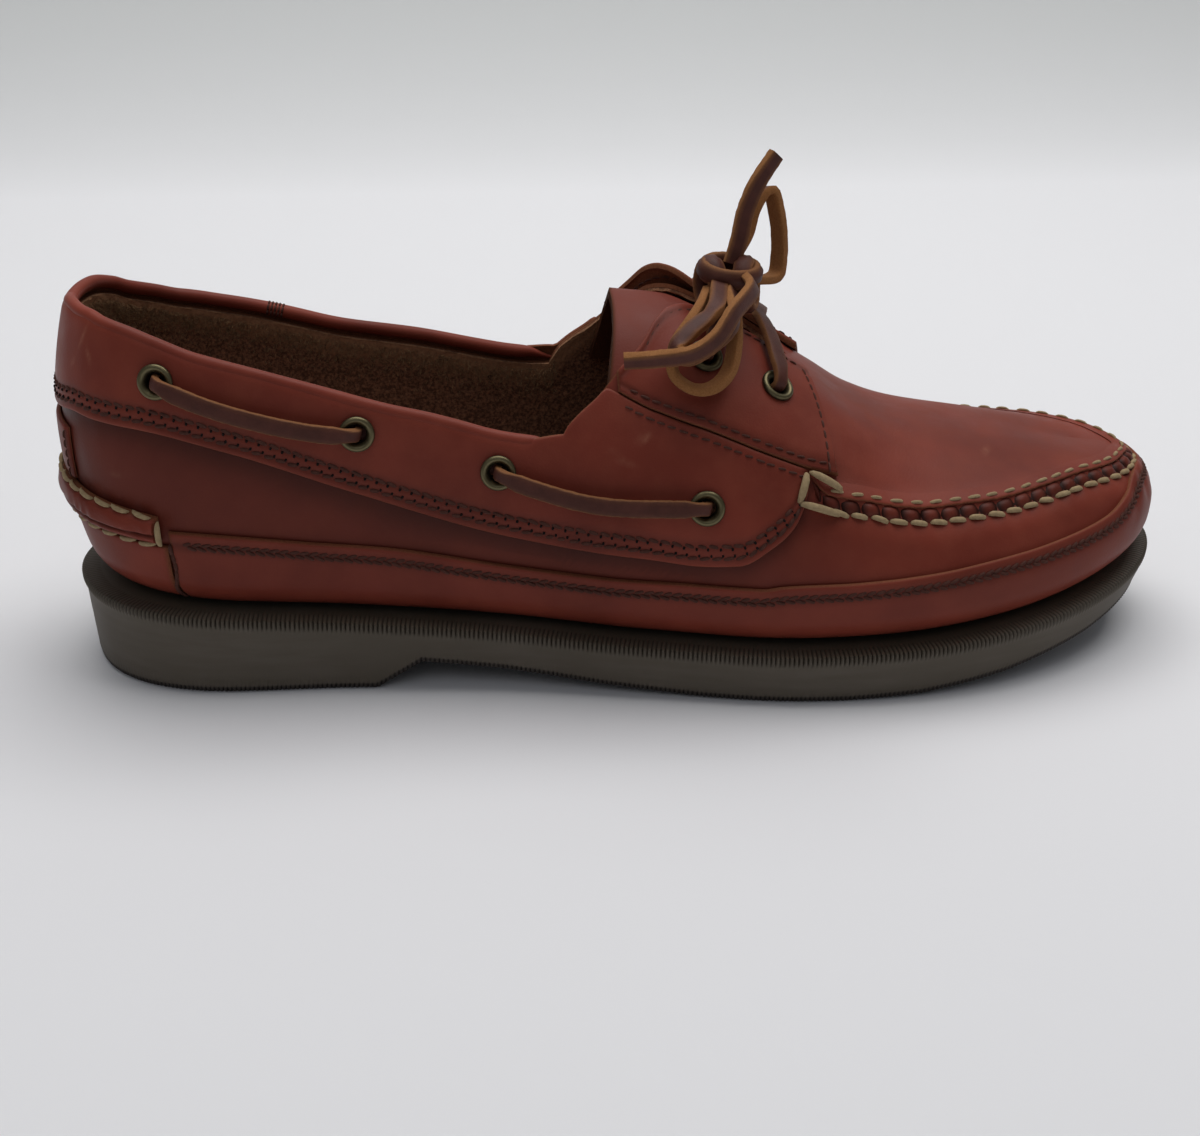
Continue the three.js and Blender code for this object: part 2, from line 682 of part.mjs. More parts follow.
// Side laces weaving in and out of four eyelets on each side
const seatOf = (name) => seats.find((place) => place.name === name);
const outsideRun = 1.6 + 2 * gap + laceThick / 2;
const insideRun = barrelEnd - gap - laceThick / 2;
const onLast = (u, girth, out) => ({ point: lastAt(u, girth, out), up: lastNormal(u, girth) });
const inBore = (place, out, up) => ({
  point: place.centre.clone().addScaledVector(place.out, out),
  up,
});
function laceRun(from, to, outside) {
  const way = to.centre.clone().sub(from.centre).normalize();
  const back = way.clone().negate();
  const depth = outside ? outsideRun : insideRun;
  const sag = outside ? 0.11 : 0;
  const boreTop = 2.3;
  const boreEnd = insideRun + 0.6;
  const [first, second] = outside ? [boreEnd, boreTop] : [boreTop, boreEnd];
  const [leaving, entering] = outside ? [back, way] : [way, back];
  return [
    inBore(from, first, leaving),
    inBore(from, second, leaving),
    ...evenly(0.06, 0.94, 6).map((share) => {
      const girth = THREE.MathUtils.lerp(from.girth, to.girth, share);
      const droop = sag * share * (1 - share);
      return onLast(THREE.MathUtils.lerp(from.u, to.u, share), girth - droop, depth);
    }),
    inBore(to, second, entering),
  ];
}
function laceStops(side) {
  const [rear, waistRear, waistFront, front] = ['rear', 'waist_rear', 'waist_front', 'front']
    .map((name) => seatOf(`${name}_${side}`));
  const last = laceRun(waistFront, front, true);
  return [
    ...laceRun(rear, waistRear, true),
    ...laceRun(waistRear, waistFront, false).slice(1),
    ...last.slice(1),
    inBore(front, insideRun + 0.6, last[last.length - 1].up),
  ];
}
add('side_lace_outer', laceSolid(laceStops('outer')), 'rawhide');
add('side_lace_inner', laceSolid(laceStops('inner')), 'rawhide');

// Lace bars over the throat, down into an eyelet at each end, leaning forward on the ridge
function barStops(name, lean) {
  const [left, right] = [seatOf(`${name}_outer`), seatOf(`${name}_inner`)];
  const leaning = (place, girth) => {
    const share = (girth - place.girth) / (3 - place.girth);
    return place.u + (onInnerSide(place.u) ? -lean : lean) * share;
  };
  const seatDepth = -buildUp - 1;
  const upFrom = lastAt(left.u, left.girth + 0.05, 0).sub(left.centre).normalize();
  const upTo = lastAt(right.u, right.girth + 0.05, 0).sub(right.centre).normalize();
  return [
    inBore(left, seatDepth, upFrom.clone().negate()),
    inBore(left, 2.3, upFrom.clone().negate()),
    ...evenly(left.girth + 0.035, 3, 5)
      .map((girth) => onLast(leaning(left, girth), girth, outsideRun)),
    ...evenly(3, right.girth + 0.035, 5).slice(1)
      .map((girth) => onLast(leaning(right, girth), girth, outsideRun)),
    inBore(right, 2.3, upTo.clone().negate()),
    inBore(right, seatDepth, upTo.clone().negate()),
  ];
}
const barLean = 0.28;
add('lace_bar_throat', laceSolid(barStops('throat', 0)), 'rawhide');
add('lace_bar_instep', laceSolid(barStops('instep', barLean)), 'rawhide');

// Knot on the upper bar, with a fold, two loops and two free ends
const knotSeat = lastAt(seatOf('instep_outer').u + barLean, 3, 0);
const knotHalf = [7.5, 6, 4.2];
const knotLift = 4.9;
const knotShift = -8;
const knotCentre = new THREE.Vector3(knotSeat.x, knotShift, knotSeat.z + knotLift + knotHalf[2]);
const knot = new THREE.SphereGeometry(1, 12, 8)
  .scale(...knotHalf)
  .translate(knotCentre.x, knotCentre.y, knotCentre.z);
add('knot', knot, 'rawhide');
const nearKnot = (x, y, z) => new THREE.Vector3(x, y, z).add(knotCentre);
const atKnot = (x, y, z, clear = 2 * gap) => {
  const way = new THREE.Vector3(x, y, z).normalize();
  const reach = 1 / Math.hypot(way.x / knotHalf[0], way.y / knotHalf[1], way.z / knotHalf[2]);
  return way.multiplyScalar(reach + clear).add(knotCentre);
};
const loopNear = [
  atKnot(-0.75, -0.6, -0.2), nearKnot(-12.5, -20, -5), nearKnot(-16.5, -25, -10),
  nearKnot(-16.5, -27.5, -15.5), nearKnot(-11.6, -28.8, -19), nearKnot(-6.6, -27.7, -19),
  nearKnot(-2.4, -24.5, -16), nearKnot(-0.5, -20, -11), atKnot(0.15, -0.7, -0.7, 5 * gap),
];
const foldNear = [
  atKnot(-0.4, -0.85, 0.2, 3 * gap), nearKnot(-6, -20, -1.5), nearKnot(-12.5, -26.5, -4.5),
  nearKnot(-16.5, -30.5, -8), nearKnot(-14, -32, -9.5), nearKnot(-8, -30.5, -7),
  nearKnot(-2, -25, -3.5), atKnot(0, -1, -0.05),
];
const loopFar = [
  atKnot(0.3, 0.7, 0.5), nearKnot(6, 9, 10), nearKnot(8.5, 11, 17), nearKnot(12, 13, 21),
  nearKnot(14.5, 14, 14), nearKnot(15.5, 14, 4), nearKnot(14.5, 12.5, -2), atKnot(0.9, 0.5, -0.1),
];
const endUp = [
  atKnot(0.2, 0.1, 0.97), nearKnot(3, 2, 11), nearKnot(4.5, 3, 18), nearKnot(7.5, 4, 25),
  nearKnot(12.5, 6.5, 31.8),
];
const endSide = [
  atKnot(0.6, -0.75, 0.3, 5 * gap), nearKnot(4, -17, 3), nearKnot(-2, -29, 1), nearKnot(-7, -35.5, -3.5),
  nearKnot(-13, -38, -6.5), nearKnot(-22, -38.5, -7.5), nearKnot(-30, -38, -8),
];
const cords = {
  bow_loop_near: loopNear,
  bow_fold_near: foldNear,
  bow_loop_far: loopFar,
  bow_end_up: endUp,
  bow_end_side: endSide,
};
Object.entries(cords).forEach(([name, points]) => {
  add(name, cordSolid(points, cordRadius, 2 * points.length), 'rawhide');
});

// Origin under the middle of the shoe without its bow
const loose = ['knot', ...Object.keys(cords)];
const bounds = new THREE.Box3();
group.children.filter((mesh) => !loose.includes(mesh.name)).forEach((mesh) => {
  bounds.expandByObject(mesh);
});
const middle = bounds.getCenter(new THREE.Vector3());
group.children.forEach((mesh) => mesh.geometry.translate(-middle.x, -middle.y, -bounds.min.z));

export default group;
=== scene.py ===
"""Right boat shoe dressed in its leathers, threads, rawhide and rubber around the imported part."""
import sys
import logging
import math
from collections.abc import Callable
from dataclasses import dataclass, field
from enum import Enum
from functools import cached_property

import bmesh
import bpy
import numpy as np
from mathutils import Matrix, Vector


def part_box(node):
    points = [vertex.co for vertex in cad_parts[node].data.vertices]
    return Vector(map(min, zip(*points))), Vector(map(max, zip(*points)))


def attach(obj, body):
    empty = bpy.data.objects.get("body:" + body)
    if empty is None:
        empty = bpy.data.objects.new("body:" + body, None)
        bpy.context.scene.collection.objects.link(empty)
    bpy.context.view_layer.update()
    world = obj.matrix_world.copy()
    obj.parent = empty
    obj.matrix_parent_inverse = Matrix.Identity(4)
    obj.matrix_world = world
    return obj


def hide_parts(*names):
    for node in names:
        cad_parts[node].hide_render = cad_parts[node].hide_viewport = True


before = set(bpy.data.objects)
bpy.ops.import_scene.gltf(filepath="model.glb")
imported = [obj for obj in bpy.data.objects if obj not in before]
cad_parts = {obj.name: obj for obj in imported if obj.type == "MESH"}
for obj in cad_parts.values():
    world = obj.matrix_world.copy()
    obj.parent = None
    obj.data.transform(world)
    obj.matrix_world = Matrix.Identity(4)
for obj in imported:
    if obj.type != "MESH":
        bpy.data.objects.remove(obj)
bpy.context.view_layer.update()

MM = 0.001
# Shares of the sole's length where the ridge of the last begins and ends
RIDGE_ENDS = (0.1, 0.91)
# Millimetres from an edge of leather to the close rows that round it
CLOSE_ROWS = (0, 0.15, 0.4, 0.8)
FINE_ROWS = 80
# A distance in millimetres past every feature
FAR = 99.0
# Leather with no cut edge, burnish, painted shade or scuff
PLAIN = {"raw": 0.0, "shade": 0.0, "scuff": 0.0}
log = logging.getLogger("boat_shoe")


class Side(Enum):
    """The two sides of the foot; the camera sees the outer one."""

    OUTER = "outer"
    INNER = "inner"


@dataclass(frozen=True)
class Line:
    """A curve through rows of (at, value) that never overshoots them."""

    rows: tuple

    def __call__(self, at: np.ndarray) -> np.ndarray:
        """Reads the curve.

        Args:
            at: places along the rows' first column.

        Returns:
            The values there.
        """
        x, y = np.array(self.rows, float).T
        step = np.diff(x)
        rise = np.diff(y) / step
        before, after = rise[:-1], rise[1:]
        total = np.where(before * after > 0, before + after, 1.0)
        inner = np.where(before * after > 0, 2 * before * after / total, 0.0)
        slope = np.concatenate([rise[:1], inner, rise[-1:]])
        place = np.clip(at, x[0], x[-1])
        k = np.clip(np.searchsorted(x, place, side="left") - 1, 0, len(step) - 1)
        t = (place - x[k]) / step[k]
        start = y[k] * (1 + 2 * t) * (1 - t) ** 2 + slope[k] * step[k] * t * (1 - t) ** 2
        end = y[k + 1] * t * t * (3 - 2 * t) + slope[k + 1] * step[k] * t * t * (t - 1)
        return start + end


def smoothstep(value: np.ndarray, low: float, high: float) -> np.ndarray:
    """Eased share of the way from low to high."""
    t = np.clip((value - low) / (high - low), 0, 1)
    return t * t * (3 - 2 * t)


def hump(away: np.ndarray, width: float) -> np.ndarray:
    """Soft hump, one high in its middle and fading out over a width."""
    return np.exp(-((away / width) ** 2))


def unit(vectors: np.ndarray) -> np.ndarray:
    """The vectors at length one."""
    return vectors / np.maximum(np.linalg.norm(vectors, axis=-1, keepdims=True), 1e-9)


@dataclass(frozen=True)
class Last:
    """The form that the shoe is built on, in millimetres, with the part's own sizes.

    A place on it is a station (0 heel, 10 toe, on to 20 back along the inner side) and a girth
    (0 foot of the wall, 1 above its corner, 2 widest, 3 ridge).
    """

    sole_length: float = 300.0
    heel_width: float = 75.0
    waist_width: float = 77.0
    ball_width: float = 105.0
    back_height: float = 100.5
    instep_height: float = 100.5
    toe_height: float = 53.0
    heel_seat: float = 22.3
    forefoot_seat: float = 15.0
    wall: float = 2.0
    overlay: float = 1.4
    gap: float = 0.3
    lasting: float = 7.0
    roll_radius: float = 2.2
    corner_reach: float = 9.0
    corner_height: float = 10.0
    turn: int = 20

    @property
    def build_up(self) -> float:
        """How far the upper lies under the overlays' outside."""
        return self.overlay + self.gap

    @cached_property
    def stations(self) -> dict:
        """Columns of the stations round the foot."""
        heel, waist, ball = self.heel_width / 2, self.waist_width / 2, self.ball_width / 2
        rows = [
            (0, 0, 7.5, 0.428, 2.0, 1.55, 5.5, 0.1),
            (0.03, -0.653 * heel, 6.5, 0.408, 2.0, 1.6, 5.5, 0.11),
            (0.11, -heel, 3.5, 0.358, 2.1, 1.8, 5.0, 0.153),
            (0.25, -1.027 * heel, 2.5, 0.259, 2.1, 1.8, 4.5, 0.267),
            (0.383, -1.065 * waist, 3.0, 0.219, 2.1, 1.85, 4.5, 0.387),
            (0.517, -0.914 * ball, 3.0, 0.199, 2.0, 1.95, 4.5, 0.51),
            (0.65, -1.029 * ball, 3.0, 0.169, 2.0, 1.72, 4.5, 0.63),
            (0.783, -0.971 * ball, 3.0, 0.149, 2.1, 1.65, 4.5, 0.747),
            (0.893, -0.724 * ball, 3.0, 0.139, 2.2, 1.7, 4.0, 0.833),
            (0.97, -0.343 * ball, 3.0, 0.139, 2.3, 1.85, 3.5, 0.89),
            (1.0, 0.114 * ball, 3.0, 0.139, 2.3, 1.85, 3.5, 0.91),
            (0.973, 0.552 * ball, 3.0, 0.139, 2.3, 1.85, 3.5, 0.89),
            (0.893, 0.819 * ball, 3.0, 0.139, 2.2, 1.7, 4.0, 0.833),
            (0.783, 0.952 * ball, 3.0, 0.149, 2.1, 1.65, 4.5, 0.747),
            (0.657, 0.971 * ball, 3.0, 0.169, 2.0, 1.72, 4.5, 0.63),
            (0.52, 0.819 * ball, 3.0, 0.199, 2.0, 1.95, 4.5, 0.51),
            (0.383, 0.935 * waist, 3.0, 0.219, 2.1, 1.85, 4.5, 0.387),
            (0.25, 0.973 * heel, 2.5, 0.259, 2.1, 1.8, 4.5, 0.267),
            (0.11, heel, 3.5, 0.358, 2.1, 1.8, 5.0, 0.153),
            (0.03, 0.653 * heel, 6.5, 0.408, 2.0, 1.6, 5.5, 0.11),
        ]
        names = "along across bulge bulge_height wall_power crown_power inset spine".split()
        return dict(zip(names, np.array(rows, float).T))

    @cached_property
    def ridge_height(self) -> Line:
        """Height of the ridge by its share of the sole's length."""
        instep, toe = self.instep_height, self.toe_height
        return Line((
            (0.1, 1.353 * instep), (0.2, 1.373 * instep), (0.317, 1.284 * instep),
            (0.407, 1.134 * instep), (0.47, 1.03 * instep), (0.533, instep),
            (0.567, 0.955 * instep), (0.6, 0.9 * instep), (0.633, 0.831 * instep),
            (0.667, 0.761 * instep), (0.7, 1.311 * toe), (0.74, 1.217 * toe),
            (0.8, 1.142 * toe), (0.85, 1.085 * toe), (0.91, toe),
        ))

    @cached_property
    def ridge_across(self) -> Line:
        """Side shift of the ridge by its share of the sole's length."""
        return Line((
            (0.1, 0), (0.2, 0), (0.317, 0), (0.407, 0), (0.47, 0), (0.533, 0.5), (0.567, 0.8),
            (0.6, 1), (0.633, 1.2), (0.667, 1.5), (0.7, 2), (0.74, 2.5), (0.8, 3.5),
            (0.85, 4.2), (0.91, 5),
        ))

    @cached_property
    def seat(self) -> Line:
        """Top of the sole by the share of its length."""
        heel, fore = self.heel_seat, self.forefoot_seat
        return Line((
            (0, 1.12 * heel), (0.067, 1.076 * heel), (0.167, heel), (0.283, 0.906 * heel),
            (0.4, 0.789 * heel), (0.5, 1.04 * fore), (0.617, 0.973 * fore), (0.717, fore),
            (0.833, 1.133 * fore), (0.933, 1.367 * fore), (1, 1.567 * fore),
        ))

    def tread(self, x: np.ndarray) -> np.ndarray:
        """Height of the sole's underside along it: heel block, breast, arch and spring."""
        heel, fore = self.heel_seat, self.forefoot_seat
        at = (0, 0.27, 0.31, 0.383, 0.467, 0.55, 0.6, 0.683, 0.75, 0.833, 0.917, 1)
        rise = (
            0, 0, 0.341 * heel, 0.251 * heel, 0.108 * heel, 0.018 * heel, 0, 0,
            0.047 * fore, 0.227 * fore, 0.52 * fore, 0.9 * fore,
        )
        return np.interp(np.asarray(x) / self.sole_length, at, rise)

    def column(self, name: str, u: np.ndarray) -> np.ndarray:
        """Smooth closed curve through one column of the stations."""
        values = self.stations[name]
        base = np.floor(u).astype(int)
        t = u - base
        p = [values[(base + k) % self.turn] for k in (-1, 0, 1, 2)]
        linear = (p[2] - p[0]) * t
        square = (2 * p[0] - 5 * p[1] + 4 * p[2] - p[3]) * t**2
        cube = (3 * p[1] - p[0] - 3 * p[2] + p[3]) * t**3
        return 0.5 * (2 * p[1] + linear + square + cube)

    def place(self, u: np.ndarray) -> tuple:
        """Point of the sole's rim at a station."""
        return self.sole_length * self.column("along", u), self.column("across", u)

    def spine_share(self, u: np.ndarray) -> np.ndarray:
        """Share of the sole's length at which a station's rib meets the ridge."""
        return np.clip(self.column("spine", u), *RIDGE_ENDS)

    def rim(self, u: np.ndarray, inset: np.ndarray) -> tuple:
        """Sole rim at a station, drawn in by an inset."""
        x, y = self.place(u)
        ax, ay = self.place(u - 0.01)
        bx, by = self.place(u + 0.01)
        length = np.hypot(bx - ax, by - ay)
        return x - inset * (by - ay) / length, y + inset * (bx - ax) / length

    def point(self, u: np.ndarray, girth: np.ndarray) -> np.ndarray:
        """Points of the last's outside.

        Args:
            u: stations.
            girth: girths, of a shape that fits the stations'.

        Returns:
            Points in millimetres, the last axis holding x, y and z.
        """
        u, girth = np.broadcast_arrays(np.asarray(u, float), np.asarray(girth, float))
        foot_x, foot_y = self.rim(u, self.column("inset", u))
        share = self.spine_share(u)
        spine_x, spine_y = self.sole_length * share, self.ridge_across(share)
        reach = np.hypot(foot_x - spine_x, foot_y - spine_y)
        way_x, way_y = (foot_x - spine_x) / reach, (foot_y - spine_y) / reach
        base = self.seat(foot_x / self.sole_length) + self.gap
        top = self.ridge_height(share)
        bulge = self.column("bulge", u)
        swell = self.column("bulge_height", u) * self.back_height
        corner = np.clip(girth, 0, 1) * math.pi / 2
        rise = self.corner_height * (1 - np.cos(corner))
        rise = rise + (swell - self.corner_height) * np.clip(girth - 1, 0, 1)
        low = reach + bulge * (1 - (1 - rise / swell) ** 2)
        low = low - self.corner_reach * (1 - np.sin(corner)) - np.maximum(0, -girth) * self.lasting
        over = np.clip(girth - 2, 0, 1) * math.pi / 2
        round_in = np.maximum(np.cos(over), 0) ** (2 / self.column("wall_power", u))
        round_up = np.maximum(np.sin(over), 0) ** (2 / self.column("crown_power", u))
        shoulder = base + swell
        out = np.where(girth <= 2, low, (reach + bulge) * round_in)
        z = np.where(girth <= 2, base + rise, shoulder + (top - shoulder) * round_up)
        return np.stack([spine_x + way_x * out, spine_y + way_y * out, z], axis=-1)

    def normal(self, u: np.ndarray, girth: np.ndarray) -> np.ndarray:
        """Outward directions of the last's outside."""
        u, girth = np.broadcast_arrays(np.asarray(u, float), np.asarray(girth, float))
        e = 0.01
        round_way = self.point(u + e, girth) - self.point(u - e, girth)
        up = self.point(u, np.minimum(girth + e, 3)) - self.point(u, np.maximum(girth - e, 0))
        result = unit(np.cross(round_way, up))
        share = self.spine_share(u)
        rise = self.ridge_height(share + 0.004) - self.ridge_height(share - 0.004)
        slope = rise / (0.008 * self.sole_length)
        ridge = unit(np.stack([-slope, np.zeros_like(slope), np.ones_like(slope)], axis=-1))
        down = np.broadcast_to([0.0, 0.0, -1.0], ridge.shape)
        result = np.where((girth > 2.995)[..., None], ridge, result)
        return np.where((girth <= 0)[..., None], down, result)

    def at(self, u: np.ndarray, girth: np.ndarray, out: np.ndarray) -> np.ndarray:
        """The last moved out or in by distances."""
        return self.point(u, girth) + self.normal(u, girth) * np.asarray(out, float)[..., None]

    def girth_short(self, u: np.ndarray, girth: np.ndarray, distance: float) -> np.ndarray:
        """Girth a distance short of another one."""
        step = np.linalg.norm(self.point(u, girth) - self.point(u, girth - 0.02), axis=-1)
        return girth - 0.02 * distance / step

    def lengths(self, u: np.ndarray, fine: np.ndarray) -> np.ndarray:
        """Length up the form to each of many girths, a row for each station."""
        step = np.linalg.norm(np.diff(self.point(u[:, None], fine), axis=1), axis=-1)
        return np.concatenate([np.zeros((len(u), 1)), np.cumsum(step, axis=1)], axis=1)

    def girth_away(self, u: np.ndarray, girth: np.ndarray, distance: np.ndarray) -> np.ndarray:
        """Girth a distance up (or down, below zero) from another one, measured along the form."""
        fine = np.linspace(-0.5, 3, 211)
        run = self.lengths(u, fine)
        start, distance = np.broadcast_to(girth, u.shape), np.broadcast_to(distance, u.shape)
        place = [np.interp(start[k], fine, run[k]) + distance[k] for k in range(len(u))]
        return np.array([np.interp(place[k], run[k], fine) for k in range(len(u))])

    def station(self, u: np.ndarray) -> np.ndarray:
        """The station counted from the heel on either side."""
        turned = np.mod(u, self.turn)
        return np.minimum(turned, self.turn - turned)

    def rows_between(self, u: np.ndarray, low: np.ndarray, high: np.ndarray, rows: int) -> tuple:
        """Girths of rows set out by real length, close together at both edges.

        Args:
            u: stations of the columns.
            low: girth of each column's low edge.
            high: girth of each column's high edge.
            rows: rows between the close ones.

        Returns:
            Girths, distances from the low edge and distances from the high edge.
        """
        fine = low[:, None] + (high - low)[:, None] * np.linspace(0, 1, FINE_ROWS)
        run = self.lengths(u, fine)
        length = run[:, -1:]
        near = np.array(CLOSE_ROWS) * np.minimum(1, length / (3 * CLOSE_ROWS[-1] + 0.01))
        share = np.linspace(0, 1, rows + 2)[None, 1:-1]
        middle = near[:, -1:] + (length - 2 * near[:, -1:]) * share
        place = np.concatenate([near, middle, (length - near)[:, ::-1]], axis=1)
        girth = np.stack([np.interp(place[k], run[k], fine[k]) for k in range(len(u))])
        return girth, place, length - place


LAST = Last()
COLLAR_OUTER = Line((
    (0, 2.385), (0.5, 2.4), (0.9, 2.4), (1.15, 2.39), (1.53, 2.37), (1.8, 2.35), (2.2, 2.32),
    (2.78, 2.3), (3.4, 2.29), (3.85, 2.29), (4.15, 2.3), (4.4, 2.33),
))
COLLAR_INNER = Line((
    (0, 2.385), (0.5, 2.395), (0.9, 2.375), (1.15, 2.35), (1.53, 2.32), (1.8, 2.3), (2.2, 2.29),
    (2.78, 2.29), (3.4, 2.305), (3.85, 2.315), (4.15, 2.325), (4.4, 2.345),
))
THROAT = Line((
    (4.4, 2.345), (4.5, 2.4), (4.62, 2.46), (4.75, 2.54), (4.93, 2.64), (5.05, 2.74),
    (5.15, 2.8), (5.33, 2.85), (5.6, 2.865), (5.9, 2.87), (6.0, 2.9), (6.12, 3),
))
BAND_FOOT = Line((
    (0, 2.09), (0.4, 2.1), (0.9, 2.13), (1.62, 2.13), (2.38, 2.12), (3.1, 2.09), (3.98, 2.05),
    (4.73, 2.04), (5.1, 2.04), (5.48, 2.07), (5.7, 2.15), (5.85, 2.23), (5.95, 2.33), (5.99, 2.4),
))
STAY_FOOT = Line((
    (4.7, 2.49), (4.98, 2.44), (5.25, 2.42), (5.58, 2.42), (5.93, 2.43), (6.2, 2.45),
))
FOXING_TOP = Line((
    (1.9, 1.47), (2.75, 1.62), (3.35, 1.73), (3.98, 1.69), (4.6, 1.71), (5.23, 1.86),
    (5.75, 2.02), (6.28, 2.07), (6.73, 2.12), (7.28, 2.17), (7.85, 2.2), (8.47, 2.23),
    (8.88, 2.31), (9.22, 2.4), (9.5, 2.42), (10, 2.38),
))
MOC_LINE = Line((
    (5.99, 2.42), (6.1, 2.37), (6.45, 2.4), (6.75, 2.42), (7.08, 2.45), (7.43, 2.47),
    (7.98, 2.52), (8.58, 2.56), (9.43, 2.56), (10, 2.5),
))
# Name, station, girth on the outer side and girth on the inner side
EYELETS = (
    ("rear", 1.88, 2.25, 2.215),
    ("waist_rear", 3.1, 2.22, 2.225),
    ("waist_front", 3.98, 2.2, 2.22),
    ("front", 5.28, 2.21, 2.21),
    ("instep", 5.35, 2.64, 2.64),
    ("throat", 5.85, 2.66, 2.66),
)


def collar_girth(u: np.ndarray) -> np.ndarray:
    """Girth of the collar's edge at a station."""
    at = LAST.station(u)
    return np.where(np.mod(u, LAST.turn) > LAST.turn / 2, COLLAR_INNER(at), COLLAR_OUTER(at))


def upper_top(u: np.ndarray) -> np.ndarray:
    """Girth of the upper's top edge: collar, then throat, then closed over the vamp."""
    at = LAST.station(u)
    edge = LAST.girth_short(u, collar_girth(u), 2 * LAST.roll_radius + 1.8 * LAST.gap)
    blend = smoothstep(at, 4.34, 4.42)
    return np.where(at <= 4.34, edge, edge + (THROAT(np.maximum(at, 4.4)) - edge) * blend)


def throat_edge(u: np.ndarray) -> np.ndarray:
    """Girth of the eyestay's edge at the throat."""
    return np.minimum(THROAT(np.minimum(LAST.station(u), 5.9)), 2.87)


def place_of_last() -> np.ndarray:
    """Where the last's own origin stands in the frame, read from the knot's box."""
    low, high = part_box("knot")
    middle = np.array([(a + b) / 2 for a, b in zip(low, high)]) / MM
    return middle - Bow.knot_centre()


def to_frame(points: np.ndarray) -> np.ndarray:
    """Points of the last in the frame's metres."""
    return (np.asarray(points, float) + ORIGIN) * MM


def new_piece(name: str, points: np.ndarray, faces: list, shades: dict, sharp: float = 50.0,
              merge: bool = False) -> bpy.types.Object:
    """A mesh object from points in millimetres of the last.

    Args:
        name: name of the piece.
        points: one row of three numbers a vertex.
        faces: lists of vertex numbers.
        shades: values a vertex, by the name of the attribute that the finishes read.
        sharp: angle in degrees past which an edge stays sharp.
        merge: whether equal points are joined.

    Returns:
        The object, linked to the scene.
    """
    mesh = bpy.data.meshes.new(name)
    mesh.from_pydata(to_frame(points).tolist(), [], [list(map(int, face)) for face in faces])
    for shade, values in shades.items():
        layer = mesh.attributes.new(shade, "FLOAT", "POINT")
        layer.data.foreach_set("value", np.asarray(values, np.float32).ravel())
    mesh.shade_smooth()
    if merge:
        work = bmesh.new()
        work.from_mesh(mesh)
        bmesh.ops.remove_doubles(work, verts=work.verts, dist=0.01 * MM)
        work.to_mesh(mesh)
        work.free()
    mesh.set_sharp_from_angle(angle=math.radians(sharp))
    piece = bpy.data.objects.new(name, mesh)
    bpy.context.scene.collection.objects.link(piece)
    return piece


def skin_faces(columns: int, ring: int, loop: bool, left_out: dict | None = None) -> list:
    """Faces of a skin through rings of points, capped at its ends where it isn't a loop.

    Args:
        columns: number of rings.
        ring: points a ring.
        loop: whether the last ring meets the first.
        left_out: for a ring edge, the columns where it has no face.

    Returns:
        Lists of vertex numbers.
    """
    faces = []
    for i in range(columns if loop else columns - 1):
        a, b = i * ring, ((i + 1) % columns) * ring
        for j in range(ring):
            if left_out and j in left_out and left_out[j][i]:
                continue
            k = (j + 1) % ring
            faces.append((a + j, b + j, b + k, a + k))
    if not loop:
        end = (columns - 1) * ring
        faces += [tuple(range(ring)), tuple(end + j for j in reversed(range(ring)))]
    return faces


def facing_out(points: np.ndarray, faces: list) -> list:
    """The faces, turned over where their volume comes out negative."""
    volume = 0.0
    for face in faces:
        a = points[face[0]]
        for j in range(1, len(face) - 1):
            volume += float(np.dot(a, np.cross(points[face[j]], points[face[j + 1]])))
    return faces if volume > 0 else [tuple(reversed(face)) for face in faces]


def skin(name: str, rings: np.ndarray, shades: dict, loop: bool = False, sharp: float = 50.0,
         left_out: dict | None = None, merge: bool = False) -> bpy.types.Object:
    """One closed piece through rings of points.

    Args:
        name: name of the piece.
        rings: points as columns, ring places and x, y, z.
        shades: attribute values as columns and ring places.
        loop: whether the last ring meets the first.
        sharp: angle in degrees past which an edge stays sharp.
        left_out: for a ring edge, the columns where it has no face.
        merge: whether equal points are joined.

    Returns:
        The object.
    """
    columns, ring = rings.shape[:2]
    flat = rings.reshape(-1, 3)
    faces = facing_out(flat, skin_faces(columns, ring, loop, left_out=left_out))
    values = {key: np.broadcast_to(value, (columns, ring)) for key, value in shades.items()}
    return new_piece(name, flat, faces, values, sharp, merge)


def joined(parts: list, loop: bool) -> tuple:
    """Points and outward faces of several skins as one mesh.

    Args:
        parts: each skin's rings of points.
        loop: whether the last ring of a skin meets its first.

    Returns:
        Points and lists of vertex numbers.
    """
    points, faces, count = [], [], 0
    for rings in parts:
        flat = rings.reshape(-1, 3)
        fresh = facing_out(flat, skin_faces(*rings.shape[:2], loop))
        faces += [tuple(v + count for v in face) for face in fresh]
        points.append(flat)
        count += len(flat)
    return np.vstack(points), faces


def leather_sides(raw: np.ndarray, shade: np.ndarray, scuff: np.ndarray, inner: tuple) -> dict:
    """Attributes of a skin of leather whose inner rows show the undyed flesh side.

    Args:
        raw: how undyed each place of the outside is.
        shade: how dark it is with burnish and dirt, and with painted shade.
        scuff: how far its dye is rubbed away.
        inner: columns and rows of the flesh side.

    Returns:
        Values by the name of the attribute, the outside's first.
    """
    plain = np.zeros(inner)
    sides = {"raw": (raw, plain + 1), "shade": (shade, plain), "scuff": (scuff, plain)}
    return {name: np.concatenate(pair, axis=1) for name, pair in sides.items()}


